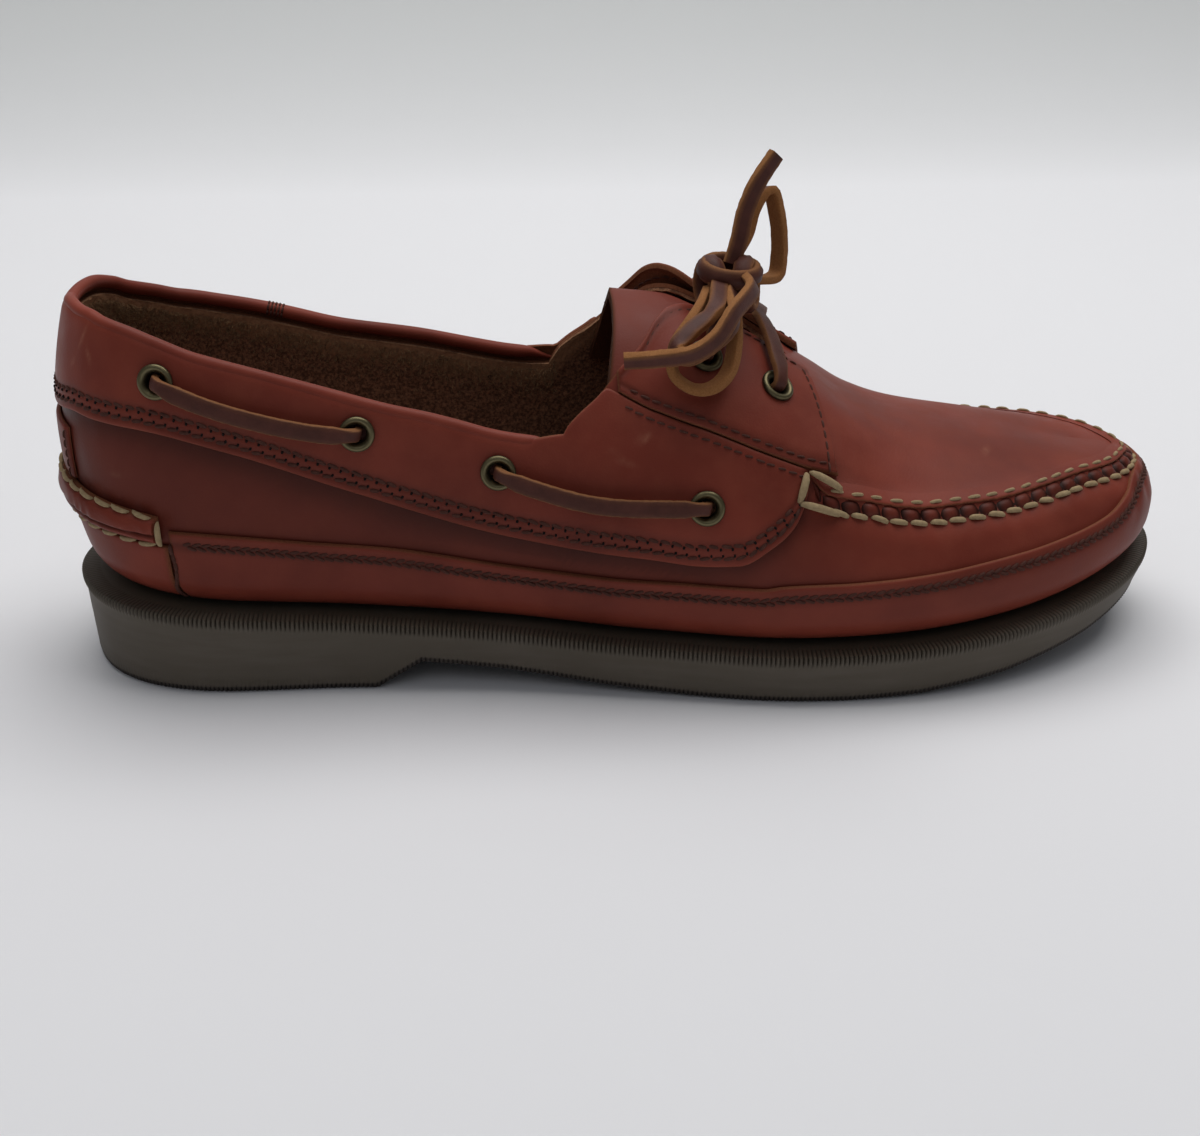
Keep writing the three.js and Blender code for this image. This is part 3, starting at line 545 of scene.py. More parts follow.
def smooth_run(points: np.ndarray, step: float) -> np.ndarray:
    """Centripetal curve through points, read at even steps.

    Args:
        points: the points of the curve.
        step: distance between the points given back.

    Returns:
        Points along the curve, both ends among them.
    """
    points = np.asarray(points, float)
    padded = np.vstack([2 * points[0] - points[1], points, 2 * points[-1] - points[-2]])
    knots = np.concatenate([[0], np.cumsum(np.linalg.norm(np.diff(padded, axis=0), axis=1) ** 0.5)])
    pieces = []
    for k in range(1, len(padded) - 2):
        t0, t1, t2, t3 = knots[k - 1:k + 3]
        t = np.linspace(t1, t2, 25)[:-1, None]
        p0, p1, p2, p3 = padded[k - 1:k + 3]
        a1 = (t1 - t) / (t1 - t0) * p0 + (t - t0) / (t1 - t0) * p1
        a2 = (t2 - t) / (t2 - t1) * p1 + (t - t1) / (t2 - t1) * p2
        a3 = (t3 - t) / (t3 - t2) * p2 + (t - t2) / (t3 - t2) * p3
        b1 = (t2 - t) / (t2 - t0) * a1 + (t - t0) / (t2 - t0) * a2
        b2 = (t3 - t) / (t3 - t1) * a2 + (t - t1) / (t3 - t1) * a3
        pieces.append((t2 - t) / (t2 - t1) * b1 + (t - t1) / (t2 - t1) * b2)
    return even_run(np.vstack(pieces + [points[-1:]]), step)


def run_length(points: np.ndarray) -> np.ndarray:
    """Length along a run of points up to each of them."""
    step = np.linalg.norm(np.diff(points, axis=0), axis=1)
    return np.concatenate([[0], np.cumsum(step)])


def even_run(points: np.ndarray, step: float) -> np.ndarray:
    """The run of points again at even steps."""
    along = run_length(points)
    count = max(2, int(round(along[-1] / step)) + 1)
    places = np.linspace(0, along[-1], count)
    return np.stack([np.interp(places, along, points[:, k]) for k in range(3)], axis=1)


def colour(code: str) -> tuple:
    """Linear colour of an sRGB hex value."""
    parts = [int(code[k:k + 2], 16) / 255 for k in (1, 3, 5)]
    linear = [c / 12.92 if c <= 0.04045 else ((c + 0.055) / 1.055) ** 2.4 for c in parts]
    return (*linear, 1.0)


def plug(tree: bpy.types.NodeTree, node: bpy.types.Node, sockets: dict) -> None:
    """Sets a node's inputs.

    Args:
        tree: the material's tree.
        node: the node.
        sockets: by input name or number, a value or another node's output.
    """
    for key, value in sockets.items():
        if isinstance(value, bpy.types.NodeSocket):
            tree.links.new(value, node.inputs[key])
        else:
            node.inputs[key].default_value = value


def add_node(tree: bpy.types.NodeTree, kind: str, settings: dict | None = None,
             sockets: dict | None = None) -> bpy.types.Node:
    """Adds a node with its settings and links.

    Args:
        tree: the material's tree.
        kind: the node's type.
        settings: the node's own properties.
        sockets: by input name or number, a value or another node's output.

    Returns:
        The node.
    """
    node = tree.nodes.new(kind)
    for key, value in (settings or {}).items():
        setattr(node, key, value)
    plug(tree, node, sockets or {})
    return node


@dataclass
class Weave:
    """A material in the making: its tree, with a method for each kind of node it takes."""

    material: bpy.types.Material

    def __post_init__(self) -> None:
        """Finds the shader and the place on the object."""
        self.material.use_nodes = True
        self.tree = self.material.node_tree
        self.place = add_node(self.tree, "ShaderNodeTexCoord").outputs["Object"]

    def surface(self, sockets: dict) -> None:
        """Sets the shader's own inputs, by name."""
        plug(self.tree, self.tree.nodes["Principled BSDF"], sockets)

    def noise(self, size_mm: float, detail: float, roughness: float = 0.5,
              place: bpy.types.NodeSocket | None = None) -> bpy.types.NodeSocket:
        """Cloudy pattern.

        Args:
            size_mm: size of a cloud in millimetres.
            detail: number of finer layers.
            roughness: weight of the finer layers.
            place: where it is read, if not on the object itself.

        Returns:
            Its value, about a half on average.
        """
        return add_node(self.tree, "ShaderNodeTexNoise", sockets={
            "Vector": self.place if place is None else place, "Scale": 1 / (size_mm * MM),
            "Detail": detail, "Roughness": roughness}).outputs[0]

    def attribute(self, name: str) -> bpy.types.NodeSocket:
        """Value of the mesh's own attribute."""
        return add_node(self.tree, "ShaderNodeAttribute", {"attribute_name": name}).outputs["Fac"]

    def spread(self, value: bpy.types.NodeSocket, low: float, high: float,
               to_low: float = 0.0, to_high: float = 1.0) -> bpy.types.NodeSocket:
        """The value's share of the way from low to high, given out from to_low to to_high."""
        return add_node(self.tree, "ShaderNodeMapRange", sockets={
            "Value": value, "From Min": low, "From Max": high,
            "To Min": to_low, "To Max": to_high}).outputs[0]

    def mix(self, share: bpy.types.NodeSocket, first: object,
            second: object) -> bpy.types.NodeSocket:
        """Colour between two, each a hex value or another node's output."""
        ends = [colour(end) if isinstance(end, str) else end for end in (first, second)]
        return add_node(self.tree, "ShaderNodeMix", {"data_type": "RGBA"}, {
            "Factor": share, 6: ends[0], 7: ends[1]}).outputs[2]

    def between(self, share: bpy.types.NodeSocket, first: object,
                second: object) -> bpy.types.NodeSocket:
        """Value between two, each a number or another node's output."""
        return add_node(self.tree, "ShaderNodeMix", {"data_type": "FLOAT"}, {
            "Factor": share, 2: first, 3: second}).outputs[0]

    def math(self, operation: str, *values: object, clamp: bool = False) -> bpy.types.NodeSocket:
        """Result of one sum over numbers or other nodes' outputs."""
        settings = {"operation": operation, "use_clamp": clamp}
        return add_node(self.tree, "ShaderNodeMath", settings, dict(enumerate(values))).outputs[0]

    def bump(self, height: bpy.types.NodeSocket, strength: float,
             depth_mm: float) -> bpy.types.NodeSocket:
        """Fine relief of a depth in millimetres, for the shader's normal."""
        return add_node(self.tree, "ShaderNodeBump", sockets={
            "Height": height, "Strength": strength, "Distance": depth_mm * MM}).outputs[0]


@dataclass(frozen=True)
class Finish:
    """What every finish shares: a name, a base colour and the start of its material."""

    name: str
    base: str

    def start(self) -> Weave:
        """A new material to add the finish's nodes to."""
        return Weave(bpy.data.materials.new(self.name))


@dataclass(frozen=True)
class OiledLeather(Finish):
    """Pull-up cowhide, drum dyed and oiled: smooth, with tones that drift over a hand's width.

    Its cut edges stay undyed, so the raw attribute shows tan. The oil gives a soft broad gloss,
    the shade attribute holds the burnish and dirt beside seams and painted shade in folds,
    notches, gaps, under overhanging edges and over the lower parts, and the scuff attribute
    shows where the dye is rubbed away in streaks.
    """

    deep: str = "#682c21"
    light: str = "#904b38"
    raw: str = "#8a563c"
    raw_deep: str = "#54301d"
    rubbed: str = "#b98468"
    grime_and_painted_shade: str = "#2b120c"
    roughness: float = 0.44
    raw_roughness: float = 0.9
    drift_mm: float = 42.0
    cloud_mm: float = 9.0
    streak_mm: float = 1.6
    grain_mm: float = 0.55
    fibre_mm: float = 0.5

    def build(self) -> bpy.types.Material:
        """The leather's material."""
        weave = self.start()
        cloud, raw = weave.noise(self.cloud_mm, 4.0, 0.6), weave.attribute("raw")
        drift = weave.spread(weave.noise(self.drift_mm, 3.0, 0.55), 0.3, 0.7)
        dyed = weave.mix(drift, self.deep, self.base)
        dyed = weave.mix(weave.spread(cloud, 0.42, 0.75, to_high=0.22), dyed, self.light)
        rub = weave.math("MULTIPLY", weave.attribute("scuff"), weave.noise(self.streak_mm, 3.0))
        # Grime and burnish by the seams, and painted shade, come in through the shade attribute
        wear_and_painted_light = weave.mix(weave.attribute("shade"), weave.mix(rub, dyed, self.rubbed), self.grime_and_painted_shade)
        cut = weave.mix(weave.noise(self.fibre_mm, 2.0), self.raw_deep, self.raw)
        gloss = weave.spread(cloud, 0.3, 0.7, self.roughness - 0.05, self.roughness + 0.08)
        pore = add_node(weave.tree, "ShaderNodeTexVoronoi", {"feature": "SMOOTH_F1"}, {
            "Vector": weave.place, "Scale": 1 / (self.grain_mm * MM), "Smoothness": 0.6})
        swell = weave.math("MULTIPLY_ADD", cloud, 0.8, pore.outputs["Distance"])
        weave.surface({
            "Base Color": weave.mix(raw, wear_and_painted_light, cut),
            "Roughness": weave.between(raw, gloss, self.raw_roughness),
            "Normal": weave.bump(swell, 0.2, 0.12), "IOR": 1.48, "Specular IOR Level": 0.15})
        return weave.material


@dataclass(frozen=True)
class Suede(Finish):
    """Brushed flesh side of the lining leather: matt brown nap with lighter fibre ends.

    The raw attribute paints light onto the nap below the collar, brightest by the lining's top
    edge.
    """

    tip: str = "#4a2c1c"
    # Colour of the painted light on the nap near the collar
    wear_and_painted_light: str = "#a87c5c"
    nap_mm: float = 0.9

    def build(self) -> bpy.types.Material:
        """The suede's material."""
        weave = self.start()
        nap = weave.noise(self.nap_mm, 5.0, 0.7)
        fibres = weave.mix(weave.spread(nap, 0.42, 0.66), self.base, self.tip)
        # Painted light on the nap where the raw attribute is high
        nap_painted_light = weave.math("MULTIPLY", weave.attribute("raw"), nap, clamp=True)
        weave.surface({
            "Base Color": weave.mix(nap_painted_light, fibres, self.wear_and_painted_light), "Roughness": 0.98,
            "Normal": weave.bump(nap, 0.6, 0.5), "Specular IOR Level": 0.15})
        return weave.material


@dataclass(frozen=True)
class MouldedRubber(Finish):
    """Taupe vulcanised rubber from a steel mould: matt, with faint flow bands, a dusty bloom and
    painted shade mixed in by the shade attribute.
    """

    dusty: str = "#574e42"
    # Colour of the painted shade in the rib grooves and along the darker bottom edge
    wear_and_painted_light: str = "#241a14"
    band_mm: float = 2.2
    band_stretch: tuple = (0.12, 0.12, 1.0)
    bloom_mm: float = 22.0
    grit_mm: float = 0.4

    def build(self) -> bpy.types.Material:
        """The rubber's material."""
        weave = self.start()
        long_way = add_node(weave.tree, "ShaderNodeMapping", sockets={
            "Vector": weave.place, "Scale": self.band_stretch})
        band = weave.noise(self.band_mm, 3.0, place=long_way.outputs[0])
        bloom = weave.math("MULTIPLY", band, weave.noise(self.bloom_mm, 4.0))
        dusted = weave.mix(weave.spread(bloom, 0.16, 0.4), self.base, self.dusty)
        weave.surface({
            # The shade attribute mixes in painted shade
            "Base Color": weave.mix(weave.attribute("shade"), dusted, self.wear_and_painted_light),
            "Normal": weave.bump(weave.noise(self.grit_mm, 3.0), 0.3, 0.1),
            "Roughness": 0.62, "IOR": 1.52})
        return weave.material


@dataclass(frozen=True)
class Rawhide(Finish):
    """Split rawhide lace: dyed grain face, tan fuzzy edges where the raw attribute is one."""

    raw: str = "#a87648"
    raw_deep: str = "#6b3f1f"
    dark: str = "#3b1c15"
    cloud_mm: float = 3.5
    fuzz_mm: float = 0.45

    def build(self) -> bpy.types.Material:
        """The lace's material."""
        weave = self.start()
        fuzz, raw = weave.noise(self.fuzz_mm, 3.0, 0.7), weave.attribute("raw")
        face = weave.mix(weave.noise(self.cloud_mm, 4.0), self.dark, self.base)
        flesh = weave.mix(fuzz, self.raw_deep, self.raw)
        weave.surface({
            "Base Color": weave.mix(raw, face, flesh),
            "Roughness": weave.spread(raw, 0.0, 1.0, 0.55, 0.95),
            "Normal": weave.bump(fuzz, 0.45, 0.2), "Specular IOR Level": 0.25})
        return weave.material


@dataclass(frozen=True)
class WaxedThread(Finish):
    """Twisted and waxed polyester thread: matt plies with a slight change of tone each stitch."""

    dark: str = "#6f5d49"
    ply_mm: float = 1.1

    def build(self) -> bpy.types.Material:
        """The thread's material."""
        weave = self.start()
        tone = weave.noise(self.ply_mm, 3.0)
        weave.surface({
            "Base Color": weave.mix(tone, self.dark, self.base), "Roughness": 0.8,
            "Normal": weave.bump(tone, 0.5, 0.2), "Specular IOR Level": 0.2})
        return weave.material


@dataclass(frozen=True)
class AntiqueBrass(Finish):
    """Stamped brass, blackened and tumbled: olive patina with the metal bright on its crests."""

    patina: str = "#26241a"
    cloud_mm: float = 1.5

    def build(self) -> bpy.types.Material:
        """The brass's material."""
        weave = self.start()
        bright = weave.math("MULTIPLY_ADD", weave.attribute("crest"), 0.7, -0.1)
        share = weave.math("ADD", bright, weave.noise(self.cloud_mm, 4.0), clamp=True)
        weave.surface({
            "Base Color": weave.mix(share, self.patina, self.base),
            "Metallic": 0.85, "Roughness": 0.38})
        return weave.material


@dataclass(frozen=True)
class PaperBackdrop(Finish):
    """Uncoated white paper sweep: matt and even, with painted shade greying it where it curves up
    behind.
    """

    far: str = "#c4c6c6"
    fade_m: tuple = (0.5, 0.78)

    def build(self) -> bpy.types.Material:
        """The paper's material."""
        weave = self.start()
        depth = add_node(weave.tree, "ShaderNodeSeparateXYZ", sockets={"Vector": weave.place})
        # Painted shade, greyer towards the back where the paper curves up
        share = weave.spread(depth.outputs["Y"], *self.fade_m)
        weave.surface({"Base Color": weave.mix(share, self.base, self.far), "Roughness": 0.95})
        return weave.material


def made(finish: Finish) -> bpy.types.Material:
    """A field for the material of a finish, built with its wardrobe."""
    return field(default_factory=finish.build)


@dataclass
class Wardrobe:
    """Every finish of the shoe, built once."""

    leather: bpy.types.Material = made(OiledLeather("oiled_leather", "#853b2d"))
    tongue_leather: bpy.types.Material = made(OiledLeather(
        "tongue_leather", "#73352a", "#662c22", "#804335", "#4a2c1d", roughness=0.5))
    sock: bpy.types.Material = made(OiledLeather(
        "sock_leather", "#4c2a1d", "#38201a", "#5d3828", roughness=0.6))
    suede: bpy.types.Material = made(Suede("suede_lining", "#5e4031", "#a57659"))
    nap: bpy.types.Material = made(Suede("suede_nap", "#86664c", "#b5926c"))
    rubber: bpy.types.Material = made(MouldedRubber("moulded_rubber", "#50473a"))
    rawhide: bpy.types.Material = made(Rawhide("rawhide", "#5a3026"))
    cream_thread: bpy.types.Material = made(WaxedThread("cream_thread", "#b19b77", "#7b674b"))
    brown_thread: bpy.types.Material = made(WaxedThread("brown_thread", "#5c382f", "#3a211a"))
    # Dark capsules in the needle holes: painted shadow
    shadow: bpy.types.Material = made(WaxedThread("needle_hole_shadow", "#1a0d0a", "#0c0605"))
    brass: bpy.types.Material = made(AntiqueBrass("antique_brass", "#686046"))
    paper: bpy.types.Material = made(PaperBackdrop("paper_backdrop", "#e9e9ec"))


def dress(piece: bpy.types.Object, material: bpy.types.Material,
          nodes: tuple = ()) -> bpy.types.Object:
    """Gives a piece its finish, its body and the nodes that it stands for.

    Args:
        piece: the piece.
        material: its finish.
        nodes: CAD nodes that it replaces.

    Returns:
        The piece.
    """
    piece.data.materials.append(material)
    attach(piece, "root")
    if nodes:
        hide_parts(*nodes)
    log.info("%s: %d faces", piece.name, len(piece.data.polygons))
    return piece


@dataclass
class Eyelet:
    """One brass eyelet in its place on the last."""

    name: str
    side: Side
    u: float
    girth: float
    bore: float = 2.35
    barrel: float = 2.9
    flange: float = 4.6
    cutter: float = 3.4
    depth: float = 2.8
    roll: float = 0.85
    sides: int = 40

    @property
    def centre(self) -> np.ndarray:
        """Its middle on the overlay's outside."""
        return LAST.point(self.u, self.girth)

    @property
    def out(self) -> np.ndarray:
        """The direction that it faces."""
        return LAST.normal(self.u, self.girth)

    def axes(self) -> tuple:
        """Two directions square to its axis."""
        first = unit(np.cross([0.0, 0.0, 1.0], self.out))
        return first, np.cross(self.out, first)

    def lathe(self, profile: np.ndarray, sides: int) -> np.ndarray:
        """Rings of a profile of (radius, height) turned about the axis."""
        first, second = self.axes()
        turns = np.linspace(0, 2 * math.pi, sides, endpoint=False)
        way = np.cos(turns)[:, None] * first + np.sin(turns)[:, None] * second
        return (self.centre + way[:, None] * profile[None, :, :1]
                + self.out * profile[None, :, 1:2])

    def build(self) -> bpy.types.Object:
        """The eyelet with its rolled flange and barrel."""
        roll = [
            (self.flange - self.roll + self.roll * math.cos(a), 0.75 + self.roll * math.sin(a))
            for a in np.linspace(-0.5, math.pi * 0.75, 9)
        ]
        profile = np.array([
            (self.bore, -self.depth), (self.barrel, -self.depth), (self.barrel, 0.35), *roll,
            (self.bore + 0.75, 1.3), (self.bore + 0.25, 0.95), (self.bore, 0.2),
        ])
        rings = self.lathe(profile, self.sides)
        crest = smoothstep(profile[:, 1], 0.9, 1.5)
        return skin(f"eyelet_ring_{self.name}_{self.side.value}", rings, {"crest": crest[None]},
                    loop=True, sharp=70)

    def cutter_rings(self) -> np.ndarray:
        """Rings of the round tool that bores the leather for it."""
        ends = np.array([(self.cutter, -8.0), (self.cutter, 8.0)])
        return self.lathe(ends, 28).swapaxes(0, 1)


@dataclass
class EyeletSet:
    """The twelve eyelets and the tool that bores their holes."""

    rings: list = field(default_factory=list)

    def __post_init__(self) -> None:
        """Sets out the eyelets on both sides."""
        for name, at, outer, inner in EYELETS:
            self.rings.append(Eyelet(name, Side.OUTER, at, outer))
            self.rings.append(Eyelet(name, Side.INNER, LAST.turn - at, inner))

    def of(self, name: str, side: Side) -> Eyelet:
        """One eyelet by its name and side."""
        return next(ring for ring in self.rings if (ring.name, ring.side) == (name, side))

    def bore(self, piece: bpy.types.Object) -> None:
        """Cuts every eyelet's hole out of a piece."""
        points, faces = joined([ring.cutter_rings() for ring in self.rings], False)
        tool = new_piece("bore_tool", points, faces, {})
        cut = piece.modifiers.new("bores", "BOOLEAN")
        cut.operation = "DIFFERENCE"
        cut.solver = "EXACT"
        cut.object = tool
        graph = bpy.context.evaluated_depsgraph_get()
        mesh = bpy.data.meshes.new_from_object(piece.evaluated_get(graph))
        piece.modifiers.clear()
        piece.data = mesh
        bpy.data.objects.remove(tool)

    def build(self, wardrobe: Wardrobe) -> None:
        """Builds and dresses the eyelets."""
        for ring in self.rings:
            node = f"eyelet_{ring.name}_{ring.side.value}"
            dress(ring.build(), wardrobe.brass, (node,))


@dataclass
class Strap:
    """A flat lace along a run of points, its broad faces square to given directions."""

    width: float = 4.4
    thick: float = 2.0
    step: float = 1.0
    rounding: float = 0.35
    crown: float = 0.08
    flesh: bool = False
    seed: int = 3

    def rings(self, points: np.ndarray, faces: np.ndarray,
              width: np.ndarray | None = None) -> tuple:
        """Rings round the run.

        Args:
            points: the centre line, in even steps.
            faces: direction of the broad face at each point.
            width: width at each point, where it changes.

        Returns:
            Rings of points, and the raw attribute that marks the cut edges.
        """
        run = unit(np.gradient(points, axis=0))
        across = unit(np.cross(run, faces))
        broad = np.cross(across, run)
        wide = self.width if width is None else width
        half = np.broadcast_to(wide, (len(points),))[:, None] / 2
        thin = self.thick / 2
        corner = self.rounding
        cut = 1.0 if self.flesh else 0.7
        outline, raw = [], []
        for sx, sy in ((1, 1), (-1, 1), (-1, -1), (1, -1)):
            under = self.flesh and sy < 0
            angles = (0.0, 0.5, 1.0) if sx * sy > 0 else (1.0, 0.5, 0.0)
            for share in angles:
                turned = share * math.pi / 2
                outline.append((sx, corner * (math.cos(turned) - 1), sy,
                                thin - corner + corner * math.sin(turned)))
                raw.append(1.0 if under else cut - share * 0.6)
            if sx * sy > 0:
                for place in (0.4, -0.4):
                    outline.append((place * sx, 0.0, sy, thin + self.crown))
                    raw.append(0.9 if under else 0.0)
        chance = np.random.default_rng(self.seed)
        rings = []
        for sx, dx, sy, y in outline:
            ragged = chance.normal(0, 0.05, (len(points), 1))
            x = sx * (half + ragged) + math.copysign(1, sx) * dx
            rings.append(points + across * x + broad * (sy * y))
        return np.stack(rings, axis=1), np.array(raw)

    def build(self, name: str, points: np.ndarray, faces: np.ndarray,
              width: np.ndarray | None = None) -> bpy.types.Object:
        """The lace's piece."""
        rings, raw = self.rings(points, faces, width)
        return skin(name, rings, {"raw": raw[None]}, sharp=60)


@dataclass
class Bow:
    """The knot over the upper bar with its two loops and two free ends."""

    strap: Strap = field(default_factory=lambda: Strap(width=4.4, thick=2.2, flesh=True))
    half: tuple = (7.5, 6.0, 4.2)
    lift: float = 4.9
    seat_station: float = 5.63
    side_shift: float = -8.0
    towards_eye: tuple = (-0.06, -0.9, 0.42)
    path_steps: int = 24
    tilt: dict = field(default_factory=lambda: {
        "bow_loop_near": -0.75, "bow_fold_near": 0.3, "bow_loop_far": -0.2})
    facing: dict = field(default_factory=lambda: {
        "bow_end_up": ((0.1, -0.95, 0.3), (0.25, -0.9, -0.35)),
        "bow_end_side": ((0.5, -0.6, 0.4), (-0.05, -0.85, -0.5)),
    })

    @classmethod
    def knot_centre(cls) -> np.ndarray:
        """Middle of the knot on the last."""
        seat = LAST.at(cls.seat_station, 3.0, 0.0)
        return np.array([seat[0], cls.side_shift, seat[2] + cls.lift + cls.half[2]])

    def at_knot(self, x: float, y: float, z: float, clear: float = 2 * LAST.gap) -> np.ndarray:
        """Point just off the knot's skin in a direction from its middle."""
        way = unit(np.array([x, y, z], float))
        reach = 1 / np.linalg.norm(way / np.array(self.half))
        return way * (reach + clear)

    def runs(self) -> dict:
        """Points of the five cords from the knot's middle, as the part lays them."""
        gap = LAST.gap
        return {
            "bow_loop_near": [
                self.at_knot(-0.75, -0.6, -0.2), (-12.5, -20, -5), (-16.5, -25, -10),
                (-16.5, -27.5, -15.5), (-11.6, -28.8, -19), (-6.6, -27.7, -19),
                (-2.4, -24.5, -16), (-0.5, -20, -11), self.at_knot(0.15, -0.7, -0.7, 5 * gap)],
            "bow_fold_near": [
                self.at_knot(-0.4, -0.85, 0.2, 3 * gap), (-6, -20, -1.5), (-12.5, -26.5, -4.5),
                (-16.5, -30.5, -8), (-14, -32, -9.5), (-8, -30.5, -7), (-2, -25, -3.5),
                self.at_knot(0, -1, -0.05)],
            "bow_loop_far": [
                self.at_knot(0.3, 0.7, 0.5), (6, 9, 10), (8.5, 11, 17), (12, 13, 21),
                (14.5, 14, 14), (15.5, 14, 4), (14.5, 12.5, -2), self.at_knot(0.9, 0.5, -0.1)],
            "bow_end_up": [
                self.at_knot(0.2, 0.1, 0.97), (3, 2, 11), (4.5, 3, 18), (7.5, 4, 25),
                (12.5, 6.5, 31.8)],
            "bow_end_side": [
                self.at_knot(0.6, -0.75, 0.3, 5 * gap), (4, -17, 3), (-2, -29, 1),
                (-7, -35.5, -3.5), (-13, -38, -6.5), (-22, -38.5, -7.5), (-30, -38, -8)],
        }

    def build(self, wardrobe: Wardrobe) -> None:
        centre = self.knot_centre()
        knot = self.knot(centre)
        dress(knot, wardrobe.rawhide, ("knot",))
        for index, (name, stops) in enumerate(self.runs().items()):
            line = smooth_run(stops, self.strap.step) + centre
            if name in self.tilt:
                turned = self.tilt[name] * np.array(self.towards_eye)
                faces = unit(line - line.mean(axis=0)) + turned
            else:
                faces = np.linspace(*self.facing[name], len(line))
            self.strap.seed = 11 + index
            piece = self.strap.build(f"lace_{name}", line, faces)
            dress(piece, wardrobe.rawhide, (name,))

    def knot(self, centre: np.ndarray) -> bpy.types.Object:
        """Wraps of lace drawn tight round the strands."""
        wraps = (
            ((1.0, 0.1, -0.1), (-0.05, 0.9, 0.15), 6.9, 5.6, (0.4, -0.4, 3.2)),
            ((0.1, -0.35, 0.9), (-0.25, 0.9, 0.3), 6.2, 5.0, (-4.6, 0.4, -0.6)),
            ((-0.15, -0.2, 0.9), (0.3, 0.9, 0.2), 6.0, 4.8, (4.9, 0.2, -0.8)),
            ((0.95, 0.0, 0.3), (0.0, 0.9, -0.1), 5.6, 4.6, (0.2, 0.3, -2.4)),
        )
        cinch = Strap(width=5.2, thick=2.2, crown=0.75, rounding=0.8)
        parts, shades = [], []
        for first, second, wide, high, shift in wraps:
            a = unit(np.array(first, float))
            b = unit(np.array(second, float) - a * np.dot(a, second))
            turns = np.linspace(0, 2 * math.pi, 49)[:-1]
            loop = np.cos(turns)[:, None] * a * wide + np.sin(turns)[:, None] * b * high
            loop = np.vstack([loop, loop[:1]])
            rings, raw = cinch.rings(centre + np.array(shift) + loop, loop)
            parts.append(rings[:-1])
            shades.append(np.tile(raw, len(rings) - 1))
        points, faces = joined(parts, True)
        return new_piece("lace_knot", points, faces, {"raw": np.concatenate(shades)}, 60)


@dataclass
class SideLaces:
    """Rawhide woven through the side eyelets, and the bars over the throat."""

    eyelets: EyeletSet
    strap: Strap = field(default_factory=lambda: Strap(width=4.4, thick=1.9))
    sag: float = 0.11
    outside: float = 3.1
    inside: float = -2.45
    narrow: float = 3.3
    proud: float = 1.9
    instep_lean: float = 0.28

    def run(self, start: Eyelet, end: Eyelet, out: bool) -> list:
        """Stops of (point, face direction) from one eyelet to the next."""
        way = unit(end.centre - start.centre)
        depth = self.outside if out else self.inside
        tilt = 1.0 if out else -1.0
        heights = (self.inside, 1.5) if out else (1.5, self.inside)
        stops = [(start.centre + start.out * h, -way * tilt) for h in heights]
        for share in np.linspace(0.08, 0.92, 7):
            girth = start.girth + (end.girth - start.girth) * share
            droop = self.sag * share * (1 - share) if out else 0
            u = start.u + (end.u - start.u) * share
            bow = 0.25 * math.sin(math.pi * share) if out else 0
            spot = LAST.at(u, girth - droop, depth + bow)
            stops.append((spot, LAST.normal(u, girth - droop)))
        stops.append((end.centre + end.out * heights[1], way * tilt))
        return stops

    def lace(self, side: Side) -> tuple:
        """Stops along one side's lace."""
        rear, waist_rear, waist_front, front = [
            self.eyelets.of(name, side) for name in ("rear", "waist_rear", "waist_front", "front")]
        stops = self.run(rear, waist_rear, True)
        stops += self.run(waist_rear, waist_front, False)[1:]
        last = self.run(waist_front, front, True)
        stops += last[1:]
        stops.append((front.centre + front.out * self.inside, last[-1][1]))
        return stops

    def bar(self, name: str) -> list:
        """Stops of the bar between the two eyelets of one name."""
        left, right = [self.eyelets.of(name, side) for side in (Side.OUTER, Side.INNER)]
        deep = -LAST.build_up - 1.0
        up_from = unit(LAST.at(left.u, left.girth + 0.05, 0.0) - left.centre)
        up_to = unit(LAST.at(right.u, right.girth + 0.05, 0.0) - right.centre)
        stops = [(left.centre + left.out * h, -up_from) for h in (deep, self.proud)]
        lean = self.instep_lean if name == "instep" else 0.0
        rise = np.linspace(0.1, 1, 6)
        for ring, way, shares in ((left, lean, rise), (right, -lean, rise[::-1][1:])):
            for share in shares:
                u, girth = ring.u + way * share, ring.girth + (3 - ring.girth) * share
                stops.append((LAST.at(u, girth, self.outside), LAST.normal(u, girth)))
        return stops + [(right.centre + right.out * h, -up_to) for h in (self.proud, deep)]

    def piece(self, name: str, stops: list) -> bpy.types.Object:
        """The lace's piece through its stops, narrower in the eyelets."""
        points = np.array([stop[0] for stop in stops])
        ways = np.array([stop[1] for stop in stops])
        line = smooth_run(points, self.strap.step)
        along = run_length(line)
        nearest = np.array([along[np.argmin(np.linalg.norm(line - p, axis=1))] for p in points])
        faces = np.stack([np.interp(along, nearest, ways[:, k]) for k in range(3)], axis=1)
        bores = np.array([ring.centre for ring in self.eyelets.rings])
        near = np.min(np.linalg.norm(line[:, None] - bores[None], axis=-1), axis=1)
        width = self.narrow + (self.strap.width - self.narrow) * smoothstep(near, 3.0, 7.0)
        self.strap.seed += 1
        return self.strap.build(name, line, unit(faces), width)

    def build(self, wardrobe: Wardrobe) -> None:
        """Builds and dresses the laces and bars."""
        runs = {f"side_lace_{side.value}": self.lace(side) for side in Side}
        runs |= {f"lace_bar_{name}": self.bar(name) for name in ("throat", "instep")}
        for node, stops in runs.items():
            dress(self.piece(f"rawhide_{node}", stops), wardrobe.rawhide, (node,))


@dataclass(frozen=True)
class Crease:
    """A soft fold pressed into the leather along a straight way on the last."""

    u: float
    girth: float
    to_u: float
    to_girth: float
    width: float
    depth: float


